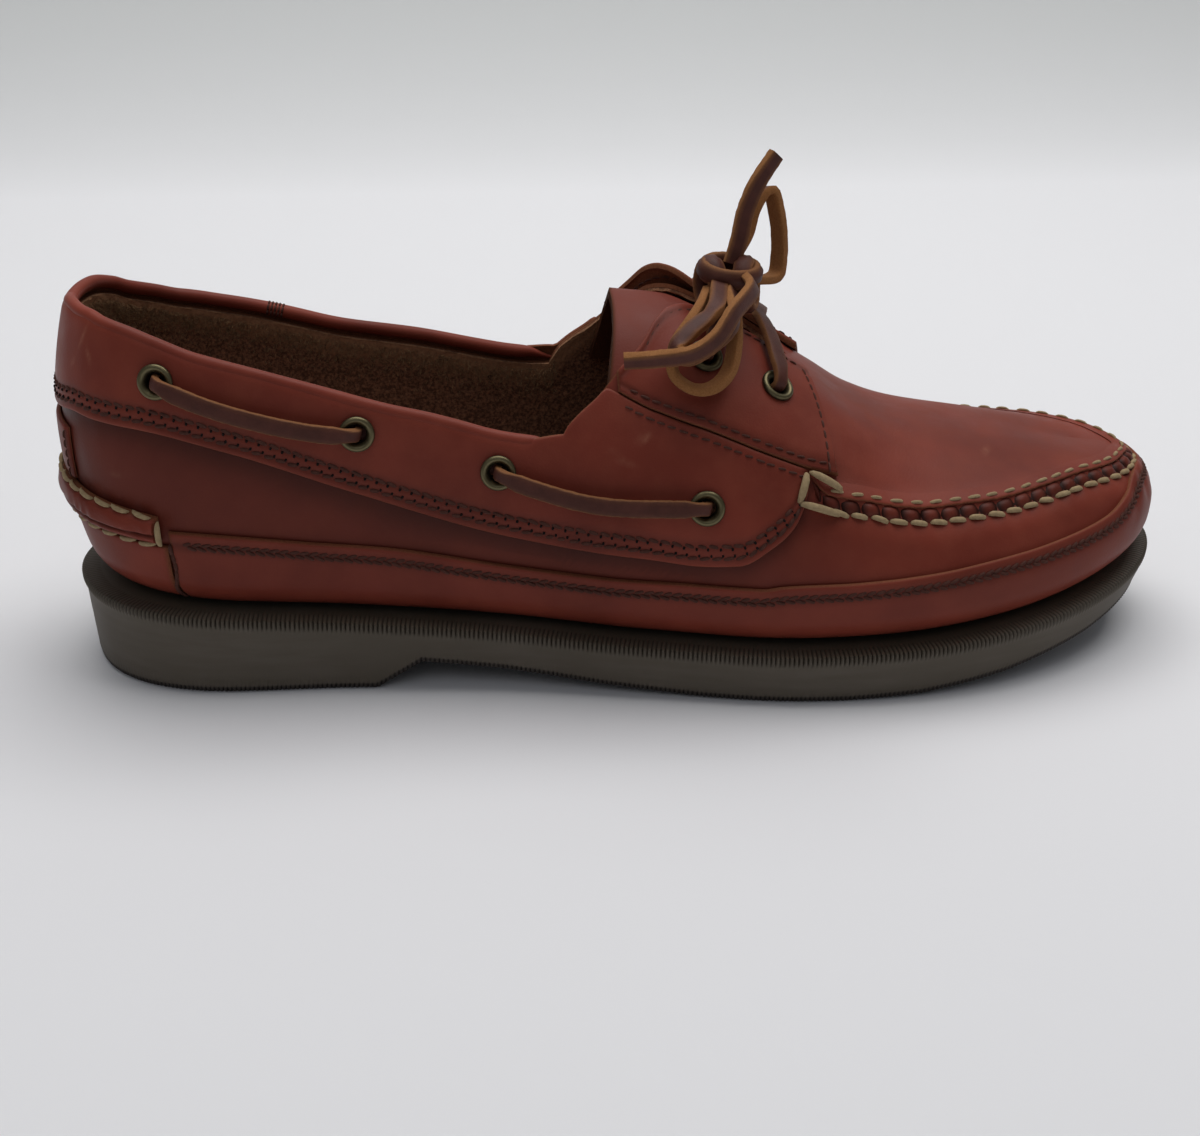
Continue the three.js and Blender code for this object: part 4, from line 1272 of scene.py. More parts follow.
CREASES = (
    Crease(4.7, 2.34, 4.95, 2.12, 9.0, 0.45),
    Crease(15.3, 2.34, 15.05, 2.12, 9.0, 0.45),
    Crease(0.75, 2.3, 1.0, 2.15, 4.5, 0.2),
    Crease(1.15, 2.28, 1.3, 2.15, 4.0, 0.15),
    Crease(3.2, 2.0, 3.6, 1.85, 10.0, 0.5),
    Crease(16.8, 2.0, 16.4, 1.85, 10.0, 0.5),
    Crease(8.9, 2.1, 9.1, 2.4, 3.0, 0.3),
    Crease(9.3, 2.15, 9.4, 2.42, 2.6, 0.35),
    Crease(9.7, 2.12, 9.75, 2.42, 2.6, 0.3),
    Crease(10.6, 2.12, 10.5, 2.42, 2.8, 0.3),
)
STATION_MM = 32.0
GIRTH_MM = 38.0


def creased(u: np.ndarray, girth: np.ndarray) -> np.ndarray:
    """How far the creases press the leather in at places on the last."""
    total = np.zeros(np.broadcast(u, girth).shape)
    for fold in CREASES:
        ax, ay = fold.u * STATION_MM, fold.girth * GIRTH_MM
        bx, by = fold.to_u * STATION_MM, fold.to_girth * GIRTH_MM
        px, py = np.mod(u, LAST.turn) * STATION_MM - ax, girth * GIRTH_MM - ay
        length = math.hypot(bx - ax, by - ay)
        share = np.clip((px * (bx - ax) + py * (by - ay)) / length**2, 0, 1)
        away = np.hypot(px - share * (bx - ax), py - share * (by - ay))
        total += fold.depth * hump(away, fold.width)
    return total


# Station, girth, half length and half width in millimetres, lean and strength
SCUFFS = (
    (0.95, 2.33, 2.0, 0.35, 0.5, 0.5),
    (1.08, 2.29, 1.4, 0.35, -0.4, 0.45),
    (0.8, 2.26, 1.2, 0.3, 0.2, 0.4),
    (4.9, 2.36, 1.3, 0.3, 0.3, 0.5),
    (4.75, 2.3, 2.4, 0.3, -0.2, 0.3),
    (2.6, 2.2, 5.0, 0.4, 0.1, 0.35),
    (1.4, 1.9, 4.0, 0.5, 0.3, 0.35),
    (5.5, 1.95, 5.0, 0.4, -0.1, 0.3),
    (7.6, 2.75, 2.0, 0.4, 0.5, 0.4),
    (18.9, 2.1, 3.0, 0.4, 0.4, 0.5),
    (15.3, 2.2, 4.0, 0.4, -0.2, 0.4),
    (9.6, 1.9, 3.0, 0.6, 0.2, 0.4),
)


def scuffed(u: np.ndarray, girth: np.ndarray) -> np.ndarray:
    """How much the dye is rubbed away at places on the last."""
    total = np.zeros(np.broadcast(u, girth).shape)
    for at, height, half_long, half_wide, lean, strength in SCUFFS:
        x = (np.mod(u - at + 10, LAST.turn) - 10) * STATION_MM
        y = (girth - height) * GIRTH_MM
        long_way = x * math.cos(lean) + y * math.sin(lean)
        short_way = y * math.cos(lean) - x * math.sin(lean)
        far = (long_way / half_long) ** 2 + (short_way / half_wide) ** 2
        total += strength * np.exp(-far)
    return total


@dataclass
class Panel:
    """A piece of leather lying on the upper between two girths along a run of stations."""

    name: str
    start: float
    end: float
    low: Callable
    high: Callable
    columns: int
    rows: int
    lift: float = 0.0
    dips: tuple = ()
    raw_share: float = 0.5
    tuck: float = 0.0
    puff: float = 0.0
    flare: float = 0.0
    raw_tone: float = 1.0
    # Even darkening over the whole panel; on the foxing it is painted shade
    tone: float = 0.0
    edge_radius: float = 0.85
    seam_width: float = 0.7
    soiled_width: float = 1.3
    seam_tone: float = 0.42
    turn_in: float = 3.0
    flare_station: float = 5.05
    flare_reach: float = 5.0

    def padding(self, u: np.ndarray, share: np.ndarray) -> tuple:
        """Rise of a stuffed roll over the flat piece, and the fold along it.

        Args:
            u: stations.
            share: share of the way from the low edge to the high one.

        Returns:
            The rise in millimetres, and one in the fold's bottom falling to zero beside it.
        """
        rolled = np.sin(math.pi * np.clip(share, 0, 1)) ** 0.6
        wrinkle = 0.28 * np.sin(u * 23 + 5 * np.sin(u * 7))[:, None] * np.sin(share * 7 + 1)
        fold = hump(share - 0.36 - 0.05 * np.sin(u * 4)[:, None], 0.07)
        return self.puff * (rolled + 0.3 * wrinkle * rolled - 0.45 * fold), fold

    def edge_distances(self, u: np.ndarray, girth: np.ndarray, from_low: np.ndarray,
                       from_high: np.ndarray) -> tuple:
        """Distances from the high edge and from any cut edge; a tucked edge counts as none."""
        tucked = (LAST.station(u) < self.tuck)[:, None]
        high = np.where(tucked, FAR, from_high)
        along = run_length(LAST.point(u, girth[:, girth.shape[1] // 2]))
        from_end = np.minimum(along, along[-1] - along)[:, None]
        return high, np.minimum(np.minimum(from_low, high), from_end)

    def build(self) -> bpy.types.Object:
        """The panel with rounded cut edges and its seams drawn in."""
        u = np.linspace(self.start, self.end, self.columns)
        girth, from_low, from_high = LAST.rows_between(u, self.low(u), self.high(u), self.rows)
        high, edge = self.edge_distances(u, girth, from_low, from_high)
        inwards = 1 - np.clip(edge / self.edge_radius, 0, 1)
        round_edge = np.sqrt(np.maximum(0, 1 - inwards**2))
        thick = LAST.overlay + self.lift
        rise = thick * (self.raw_share + (1 - self.raw_share) * round_edge) - thick + self.lift
        padded, fold = self.padding(u, from_low / (from_low + from_high))
        rise = rise + padded
        lean = hump(LAST.station(u) - self.flare_station, 0.3)[:, None]
        flared = self.flare * lean * hump(from_high, self.flare_reach)
        over = np.clip(1 - from_high / self.turn_in, 0, 1)
        tucked = (LAST.station(u) < self.tuck)[:, None]
        pressed = creased(u[:, None], girth)
        pressed = pressed + tucked * self.turn_in / 2 * (1 - np.sqrt(1 - over**2 * 0.98))
        stitched = np.zeros(girth.shape)
        for distance, from_high_edge, depth in self.dips:
            away = (high if from_high_edge else from_low) - distance
            pressed = pressed + depth * hump(away, self.seam_width)
            stitched = np.maximum(stitched, hump(away, self.soiled_width))
        outer = LAST.at(u[:, None], girth, rise - pressed + flared)
        inside = girth[:, ::-1]
        sunk = flared[:, ::-1] - LAST.overlay - creased(u[:, None], inside)
        rings = np.concatenate([outer, LAST.at(u[:, None], inside, sunk)], axis=1)
        cut = self.raw_tone * (1 - smoothstep(edge, 0.05, 0.42))
        # Painted shade in the bottom of the padding's fold
        painted_crevice_shade = 0.7 * self.puff / (self.puff + 0.01) * fold
        dark = self.tone + np.maximum(stitched * self.seam_tone, painted_crevice_shade)
        return skin(self.name, rings, leather_sides(
            cut, dark, scuffed(u[:, None], girth), inside.shape))


@dataclass
class Studio:
    """Paper sweep, soft box, fill and the camera of the photograph."""

    azimuth: float = -3.7
    elevation: float = 25.0
    distance: float = 550.0
    target: tuple = (142.9, 0.0, 17.0)
    lens: float = 58.49
    sweep_start: float = 0.55
    sweep_radius: float = 0.35
    sweep_height: float = 1.6
    half_width: float = 3.0
    front: float = -1.6

    def camera(self) -> None:
        """Camera at the photograph's place and angle."""
        data = bpy.data.cameras.new("camera")
        data.lens = self.lens
        data.sensor_width = 36.0
        data.dof.use_dof = False
        camera = bpy.data.objects.new("camera", data)
        bpy.context.scene.collection.objects.link(camera)
        turn, rise = math.radians(self.azimuth), math.radians(self.elevation)
        aim = to_frame(np.array(self.target))
        away = np.array([
            math.sin(turn) * math.cos(rise), -math.cos(turn) * math.cos(rise), math.sin(rise)])
        camera.location = aim + away * self.distance * MM
        camera.rotation_euler = (math.pi / 2 - rise, 0.0, turn)
        bpy.context.scene.camera = camera

    def sweep(self, paper: bpy.types.Material) -> None:
        """Floor that curves up into the backdrop."""
        arc = [
            (self.sweep_start + self.sweep_radius * math.sin(a),
             self.sweep_radius * (1 - math.cos(a)))
            for a in np.linspace(0, math.pi / 2, 14)
        ]
        profile = [(self.front, 0.0), *arc, (arc[-1][0], self.sweep_height)]
        points = [(x, y, z) for y, z in profile for x in (-self.half_width, self.half_width)]
        faces = [(2 * k, 2 * k + 1, 2 * k + 3, 2 * k + 2) for k in range(len(profile) - 1)]
        mesh = bpy.data.meshes.new("paper_sweep")
        mesh.from_pydata(points, [], faces)
        mesh.shade_smooth()
        mesh.materials.append(paper)
        floor = bpy.data.objects.new("paper_sweep", mesh)
        bpy.context.scene.collection.objects.link(floor)

    def light(self, name: str, place: tuple, size: tuple, power: float, tint: str) -> None:
        """One soft box pointed at the shoe."""
        data = bpy.data.lights.new(name, "AREA")
        data.shape = "RECTANGLE"
        data.size, data.size_y = size
        data.energy = power
        data.color = colour(tint)[:3]
        lamp = bpy.data.objects.new(name, data)
        lamp.location = place
        away = unit(np.array(place, float))
        lamp.rotation_euler = (
            math.acos(away[2]), 0.0, math.atan2(away[1], away[0]) + math.pi / 2)
        bpy.context.scene.collection.objects.link(lamp)

    def build(self, paper: bpy.types.Material) -> None:
        """Sets up camera, floor and light."""
        self.camera()
        self.sweep(paper)
        self.light("soft_box_above", (0.1, 0.3, 1.3), (1.5, 1.1), 17.0, "#fffefc")
        self.light("soft_box_front", (-0.4, -1.05, 1.2), (1.2, 0.8), 1.7, "#f6f8ff")
        world = bpy.data.worlds.new("tent")
        world.use_nodes = True
        shell = world.node_tree.nodes["Background"]
        shell.inputs["Color"].default_value = colour("#e8ebf0")
        shell.inputs["Strength"].default_value = 0.17
        bpy.context.scene.world = world
        bpy.context.scene.view_settings.view_transform = "Standard"


@dataclass
class Upper:
    """Hollow vamp and quarter leather with its suede lining."""

    columns: int = 460
    rows: int = 64
    outer_face: float = -1.75
    lining_face: float = -3.0
    foot_girth: float = -0.9
    plug_rise: float = 0.8
    plug_crest: float = 1.5
    plug_width: float = 3.0
    pleat_pitch: float = 5.6
    pleat_depth: float = 0.22
    pleat_start: float = 2.5
    pleat_fade: float = 5.0
    wall_swell: float = 0.7
    swell_below: float = 9.0
    swell_width: float = 4.5
    # Strength of the burnish and painted shade below the moccasin seam, and of the painted shade at
    # the wall's foot
    burnish_and_painted_shade: float = 0.5
    rounding_reach: float = 13.0
    rounding_passes: int = 90
    fibres: int = 15000
    fibre_thick: float = 0.12

    def moc_distance(self, u: np.ndarray, girth: np.ndarray) -> np.ndarray:
        """Distance from the moccasin seam, plus towards the plug; far where there is none."""
        at = LAST.station(u)
        line = MOC_LINE(at)
        e = 0.02
        scale = np.linalg.norm(LAST.point(u, line + e) - LAST.point(u, line - e), axis=-1) / (2 * e)
        return np.where(at < 5.95, FAR, (girth - line) * scale)

    def relief(self, u: np.ndarray, girth: np.ndarray) -> np.ndarray:
        """Plug edge, gathers under the seam and creases."""
        distance = self.moc_distance(u, girth)
        plug = self.plug_rise * hump(distance - self.plug_crest, self.plug_width) * (distance > -1)
        line_u = np.linspace(6.0, 14.0, 400)
        along = run_length(LAST.point(line_u, MOC_LINE(LAST.station(line_u))))
        place = np.interp(np.mod(u, LAST.turn), line_u, along)
        below = np.clip(-distance - self.pleat_start, 0, None)
        fade = np.where(distance < 0, hump(below, self.pleat_fade), 0)
        gathers = self.pleat_depth * fade * np.cos(2 * math.pi * place / self.pleat_pitch)
        swollen = hump(distance + self.swell_below, self.swell_width)
        swell = self.wall_swell * np.where(distance < 0, swollen, 0)
        return plug + gathers + swell - creased(u, girth)

    def build(self, wardrobe: Wardrobe, eyelets: EyeletSet) -> None:
        """Builds and dresses the leather and the lining."""
        u = np.linspace(0, LAST.turn, self.columns, endpoint=False)
        top = upper_top(u)
        closed = top > 2.9999
        foot = np.full(u.shape, self.foot_girth)
        girth, _, from_high = LAST.rows_between(u, foot, top, self.rows)
        girth = np.where(closed[:, None] & (girth > 2.9995), 3.0, girth)
        outside = LAST.at(u[:, None], girth, self.outer_face + self.relief(u[:, None], girth))
        outside = self.rounded(outside, closed, from_high)
        middle = LAST.at(u[:, None], girth[:, ::-1][:, ::3], self.lining_face + 0.1)
        rings = np.concatenate([outside, middle], axis=1)
        raw = np.where(closed[:, None], 0, 1 - smoothstep(from_high, 0.1, 0.6))
        skip = {girth.shape[1] - 1: closed & np.roll(closed, -1)}
        shades = leather_sides(raw, self.shade(u, girth), scuffed(u[:, None], girth),
                               middle.shape[:2])
        leather = skin("upper_leather", rings, shades, loop=True, left_out=skip, merge=True)
        eyelets.bore(leather)
        dress(leather, wardrobe.leather, ("upper",))
        chance = np.random.default_rng(5)
        self.lining(wardrobe, u, girth, closed, from_high, chance)
        self.nap(wardrobe, chance)

    def shade(self, u: np.ndarray, girth: np.ndarray) -> np.ndarray:
        """Burnish and painted shade below the moccasin seam, painted shade at the foot of the wall,
        a painted shadow under the band's low edge and painted shade on the lower quarter.
        """
        distance = self.moc_distance(u[:, None], girth)
        # Burnish and painted shade just below the pillows of the moccasin seam
        seam = self.burnish_and_painted_shade * hump(distance + 3.4, 1.6)
        # Painted shade at the foot of the wall, in the gap above the sole
        foot = self.burnish_and_painted_shade * (1 - smoothstep(girth, 0.2, 1.0))
        at = LAST.station(u)
        band = BAND_FOOT(np.minimum(at, 5.99))[:, None] - girth
        under = (at < 6.0)[:, None] & (band > -0.02)
        shadow = np.where(under, 0.35 * hump(np.clip(band, 0, 9), 0.05), 0)
        # Painted shade over the lower quarter below the band, fading out towards the toe
        low = 0.4 * (1 - smoothstep(at, 5.0, 7.0))[:, None] * (band > -0.1)
        return np.maximum(seam + foot, shadow + low)

    def rounded(self, outside: np.ndarray, closed: np.ndarray, from_high: np.ndarray) -> np.ndarray:
        """The outside rounded off over the ridge, where the two sides of the last meet."""
        columns, rows = from_high.shape
        near = np.flatnonzero(closed[:columns // 2 + 1])
        far = (columns - near) % columns
        run = np.concatenate([outside[near], outside[far][:, ::-1][:, 1:]], axis=1)
        away = np.concatenate([from_high[near], from_high[far][:, ::-1][:, 1:]], axis=1)
        keep = 0.5 * hump(away, self.rounding_reach)[:, 1:-1, None]
        for _ in range(self.rounding_passes):
            run[:, 1:-1] += keep * ((run[:, :-2] + run[:, 2:]) / 2 - run[:, 1:-1])
        result = outside.copy()
        result[far] = run[:, ::-1][:, :rows]
        result[near] = run[:, :rows]
        return result

    def lining(self, wardrobe: Wardrobe, u: np.ndarray, girth: np.ndarray, closed: np.ndarray,
               from_high: np.ndarray, chance: np.random.Generator) -> None:
        """Builds the suede lining, uneven on its nap side, with painted light on the nap near its
        top edge.
        """
        nap = chance.normal(0, 0.12, girth.shape)
        nap[closed] = 0
        near = LAST.at(u[:, None], girth, self.lining_face)
        far = LAST.at(u[:, None], girth[:, ::-1], (nap - 3.75)[:, ::-1])
        # Painted light on the nap, strongest within a few millimetres of the lining's top edge
        nap_painted_light = 1.6 * (1 - smoothstep(from_high, 3.0, 9.0)) * (~closed)[:, None]
        raw = np.concatenate([np.zeros(girth.shape), nap_painted_light[:, ::-1]], axis=1)
        skip = {girth.shape[1] - 1: closed & np.roll(closed, -1)}
        lining = skin("suede_lining", np.concatenate([near, far], axis=1), {"raw": raw},
                      loop=True, left_out=skip, merge=True)
        dress(lining, wardrobe.suede, ("upper",))

    def nap(self, wardrobe: Wardrobe, chance: np.random.Generator) -> None:
        """Builds the fibres that stand up from the lining under the collar."""
        count, reach = self.fibres, COLLAR_OUTER.rows[-1][0]
        root_u = chance.uniform(-reach, reach, count)
        below = 1.6 + np.abs(chance.normal(0, 4.5, count))
        root_girth = LAST.girth_away(root_u, upper_top(root_u), -below)
        root = LAST.at(root_u, root_girth, -3.6)
        way = unit(chance.normal(0, 0.6, (count, 3)) - LAST.normal(root_u, root_girth))
        length = chance.uniform(0.8, 1.9, count)[:, None]
        side = unit(np.cross(way, chance.normal(0, 1, (count, 3))))
        other = np.cross(way, side)
        corners = [root + self.fibre_thick * (math.cos(a) * side + math.sin(a) * other)
                   for a in (0, 2.1, 4.2)]
        points = np.stack([*corners, root + way * length], axis=1).reshape(-1, 3)
        base = np.arange(count)[:, None, None] * 4
        faces = (base + np.array([(0, 1, 3), (1, 2, 3), (2, 0, 3), (2, 1, 0)])).reshape(-1, 3)
        fuzz = new_piece("suede_nap", points, faces.tolist(), {})
        dress(fuzz, wardrobe.nap, ("upper",))


@dataclass
class Insole:
    """Leather sock over the insole, from side to side of the last's foot."""

    thick: float = 2.3
    columns: int = 200

    def build(self, wardrobe: Wardrobe) -> None:
        """Builds and dresses the sock."""
        u = np.linspace(0, LAST.turn, self.columns, endpoint=False)
        inside = -(LAST.build_up + LAST.wall + 1.8 * LAST.gap)
        places = ((0.5, 1.0), (0.25, 1.0), (0.0, 0.45), (-1.06, 0.75))
        rim = [LAST.at(u, girth, share * inside) for girth, share in places]
        share = LAST.spine_share(u)
        middle = np.stack([LAST.sole_length * share, LAST.ridge_across(share),
                           LAST.seat(share) + LAST.gap - 0.75 * inside], axis=1)
        rows = rim + [rim[-1] + (middle - rim[-1]) * k for k in (0.35, 0.7, 0.95)]
        below = [row + np.array([0, 0, -self.thick]) for row in rows[:2:-1]]
        rings = np.stack(rows + below, axis=1)
        piece = skin("insole_sock_leather", rings, PLAIN, loop=True,
                     left_out={len(rows) - 1: np.full(len(u), True)})
        dress(piece, wardrobe.sock, ("insole",))


@dataclass(frozen=True)
class Stitch:
    """Measures of one kind of stitch, in millimetres, and its turn out of the line in degrees."""

    pitch: float
    length: float
    thick: float
    slant: float = 0.0
    rise: float = 0.0


@dataclass
class Stitcher:
    """Stitches of one thread, gathered and then joined in one piece.

    Each stitch is a plump capsule that dives into the leather at both ends.
    """

    sides: int = 8
    seed: int = 21
    batches: list = field(default_factory=list)

    def add(self, starts: np.ndarray, ends: np.ndarray, ups: np.ndarray, thick: float,
            rise: float = 0.0) -> None:
        """Adds stitches between points.

        Args:
            starts: where each stitch leaves the leather.
            ends: where it goes back in.
            ups: the outward direction at each.
            thick: the thread's thickness in millimetres.
            rise: how far the stitches stand proud of the points.
        """
        starts, ends, ups = [np.atleast_2d(np.asarray(a, float)) for a in (starts, ends, ups)]
        self.batches.append((starts + ups * rise, ends + ups * rise, ups, thick))

    def row(self, u: np.ndarray, girth: np.ndarray, out: float, stitch: Stitch,
            way: float = 1.0, shift: float = 0.5) -> None:
        """Adds a row of even stitches along a line on the last.

        Args:
            u: stations of the line.
            girth: its girths.
            out: height of the leather there over the last.
            stitch: the kind of stitch.
            way: one, or minus one where the stitches lean the other way.
            shift: share of the pitch before the first stitch's middle.
        """
        along = run_length(LAST.at(u, girth, out))
        count = max(1, int(round(along[-1] / stitch.pitch)))
        chance = np.random.default_rng(self.seed + len(self.batches))
        uneven = chance.normal(0, 0.03 * stitch.pitch, count)
        centre = (np.arange(count) + shift) * along[-1] / count + uneven
        turned = math.radians(stitch.slant * way) + chance.normal(0, 0.05, count)
        half = stitch.length / 2 * (1 + chance.normal(0, 0.05, count))
        spots = []
        for sign in (-1, 1):
            place = centre + sign * half * np.cos(turned)
            spot_u = np.interp(place, along, u)
            spot_girth = LAST.girth_away(
                spot_u, np.interp(place, along, girth), sign * half * np.sin(turned))
            spots.append(LAST.at(spot_u, spot_girth, out - creased(spot_u, spot_girth)))
        middle_u, middle_girth = np.interp(centre, along, u), np.interp(centre, along, girth)
        self.add(*spots, LAST.normal(middle_u, middle_girth), stitch.thick, stitch.rise)

    def build(self, name: str) -> bpy.types.Object:
        """Joins all the stitches into one piece."""
        shares = np.array([0.0, 0.07, 0.25, 0.5, 0.75, 0.93, 1.0])
        girths = np.array([0.3, 0.72, 1.0, 1.05, 1.0, 0.72, 0.3])
        dive = np.array([-1.0, -0.35, 0.2, 0.34, 0.2, -0.35, -1.0])
        turns = np.linspace(0, 2 * math.pi, self.sides, endpoint=False)
        points = []
        for starts, ends, ups, thick in self.batches:
            run = unit(ends - starts)
            across = unit(np.cross(ups, run))
            up = np.cross(run, across)
            line = starts[:, None] + (ends - starts)[:, None] * shares[None, :, None]
            line = line + up[:, None] * (dive * thick / 2)[None, :, None]
            ring = (np.cos(turns)[None, :, None] * across[:, None]
                    + 0.85 * np.sin(turns)[None, :, None] * up[:, None])
            radius = (thick / 2 * girths)[None, :, None, None]
            points.append((line[:, :, None] + ring[:, None] * radius).reshape(len(starts), -1, 3))
        points = np.concatenate(points)
        one = facing_out(points[0], skin_faces(len(shares), self.sides, False))
        size = points.shape[1]
        faces = [tuple(v + k * size for v in face) for k in range(len(points)) for face in one]
        return new_piece(name, points.reshape(-1, 3), faces, {}, 80)


@dataclass
class MocSeam:
    """Hand-sewn moccasin seam: the plug's lip over a row of gathered pillows."""

    start: float = 5.99
    pitch: float = 5.6
    step: float = 0.35
    base: float = -1.75
    uneven: float = 0.07
    squareness: float = 0.42
    taper: float = 4.0
    pillow_reach: float = 3.8
    pillow_rise: float = 1.5

    def line(self) -> tuple:
        """Stations, girths and length along the seam at even steps."""
        u = np.linspace(self.start, LAST.turn - self.start, 3000)
        girth = MOC_LINE(LAST.station(u))
        along = run_length(LAST.point(u, girth))
        count = int(along[-1] / self.step)
        places = np.linspace(0, along[-1], count)
        return np.interp(places, along, u), np.interp(places, along, girth), places

    def build(self, wardrobe: Wardrobe) -> None:
        """Builds and dresses the seam's leather."""
        u, girth, along = self.line()
        chance = np.random.default_rng(9)
        count = int(along[-1] / self.pitch) + 2
        phase = along / self.pitch
        cell = phase.astype(int)
        full = 1 + chance.normal(0, self.uneven, count)[cell]
        pillow = np.abs(np.sin(math.pi * phase)) ** self.squareness * full
        end = np.minimum(1, np.minimum(along, along[-1] - along) / self.taper)
        ragged = 0.12 * np.sin(along * 1.7) * np.sin(along * 0.63 + 1)
        # Distance from the seam towards the plug, height, pillow's height, cut edge and dark, a
        # painted shade under the lip's edge, on the pillows and below them
        rows = [
            (4.6, 0.45, 0, 0, 0), (3.2, 0.85, 0, 0, 0), (1.9, 1.15, 0, 0, 0),
            (0.9, 1.4, 0, 0, 0), (0.35, 1.45, 0, 0.1, 0), (0.05, 1.38, 0, 0.8, 0),
            (-0.05, 1.15, 0, 1, 0), (0.0, 0.75, 0, 0.7, 0.4), (0.05, 0.3, 0, 0, 1),
        ]
        for share in np.linspace(0.04, 1, 9):
            dome = math.sin(math.pi * min(1, 0.12 + share * 0.8)) ** 0.6
            rows.append((-self.pillow_reach * share, -0.25, self.pillow_rise * dome, 0, 0.42))
        rows += [(-4.0, -0.35, 0, 0, 0.8), (-2.0, -0.6, 0, 0, 0), (2.0, -0.4, 0, 0, 0)]
        rings, raw, shade = [], [], []
        for across, height, pillowed, cut, dark in rows:
            away = across + (ragged if cut else 0)
            spot = LAST.girth_short(u, girth, -away * (0.6 + 0.4 * end))
            out = self.base + (height + pillowed * pillow) * end
            rings.append(LAST.at(u, spot, out))
            raw.append(np.full(u.shape, 0.75 * cut))
            # Painted shade in the notches between the pillows
            notch = (1 - pillow.clip(0, 1)) ** 0.8 if pillowed else np.zeros(u.shape)
            shade.append(np.clip(dark + 1.2 * notch, 0, 1))
        shades = {"raw": np.stack(raw, axis=1), "shade": np.stack(shade, axis=1), "scuff": 0.0}
        seam = skin("moc_seam_leather", np.stack(rings, axis=1), shades, sharp=75)
        dress(seam, wardrobe.leather, ("moc_seam",))


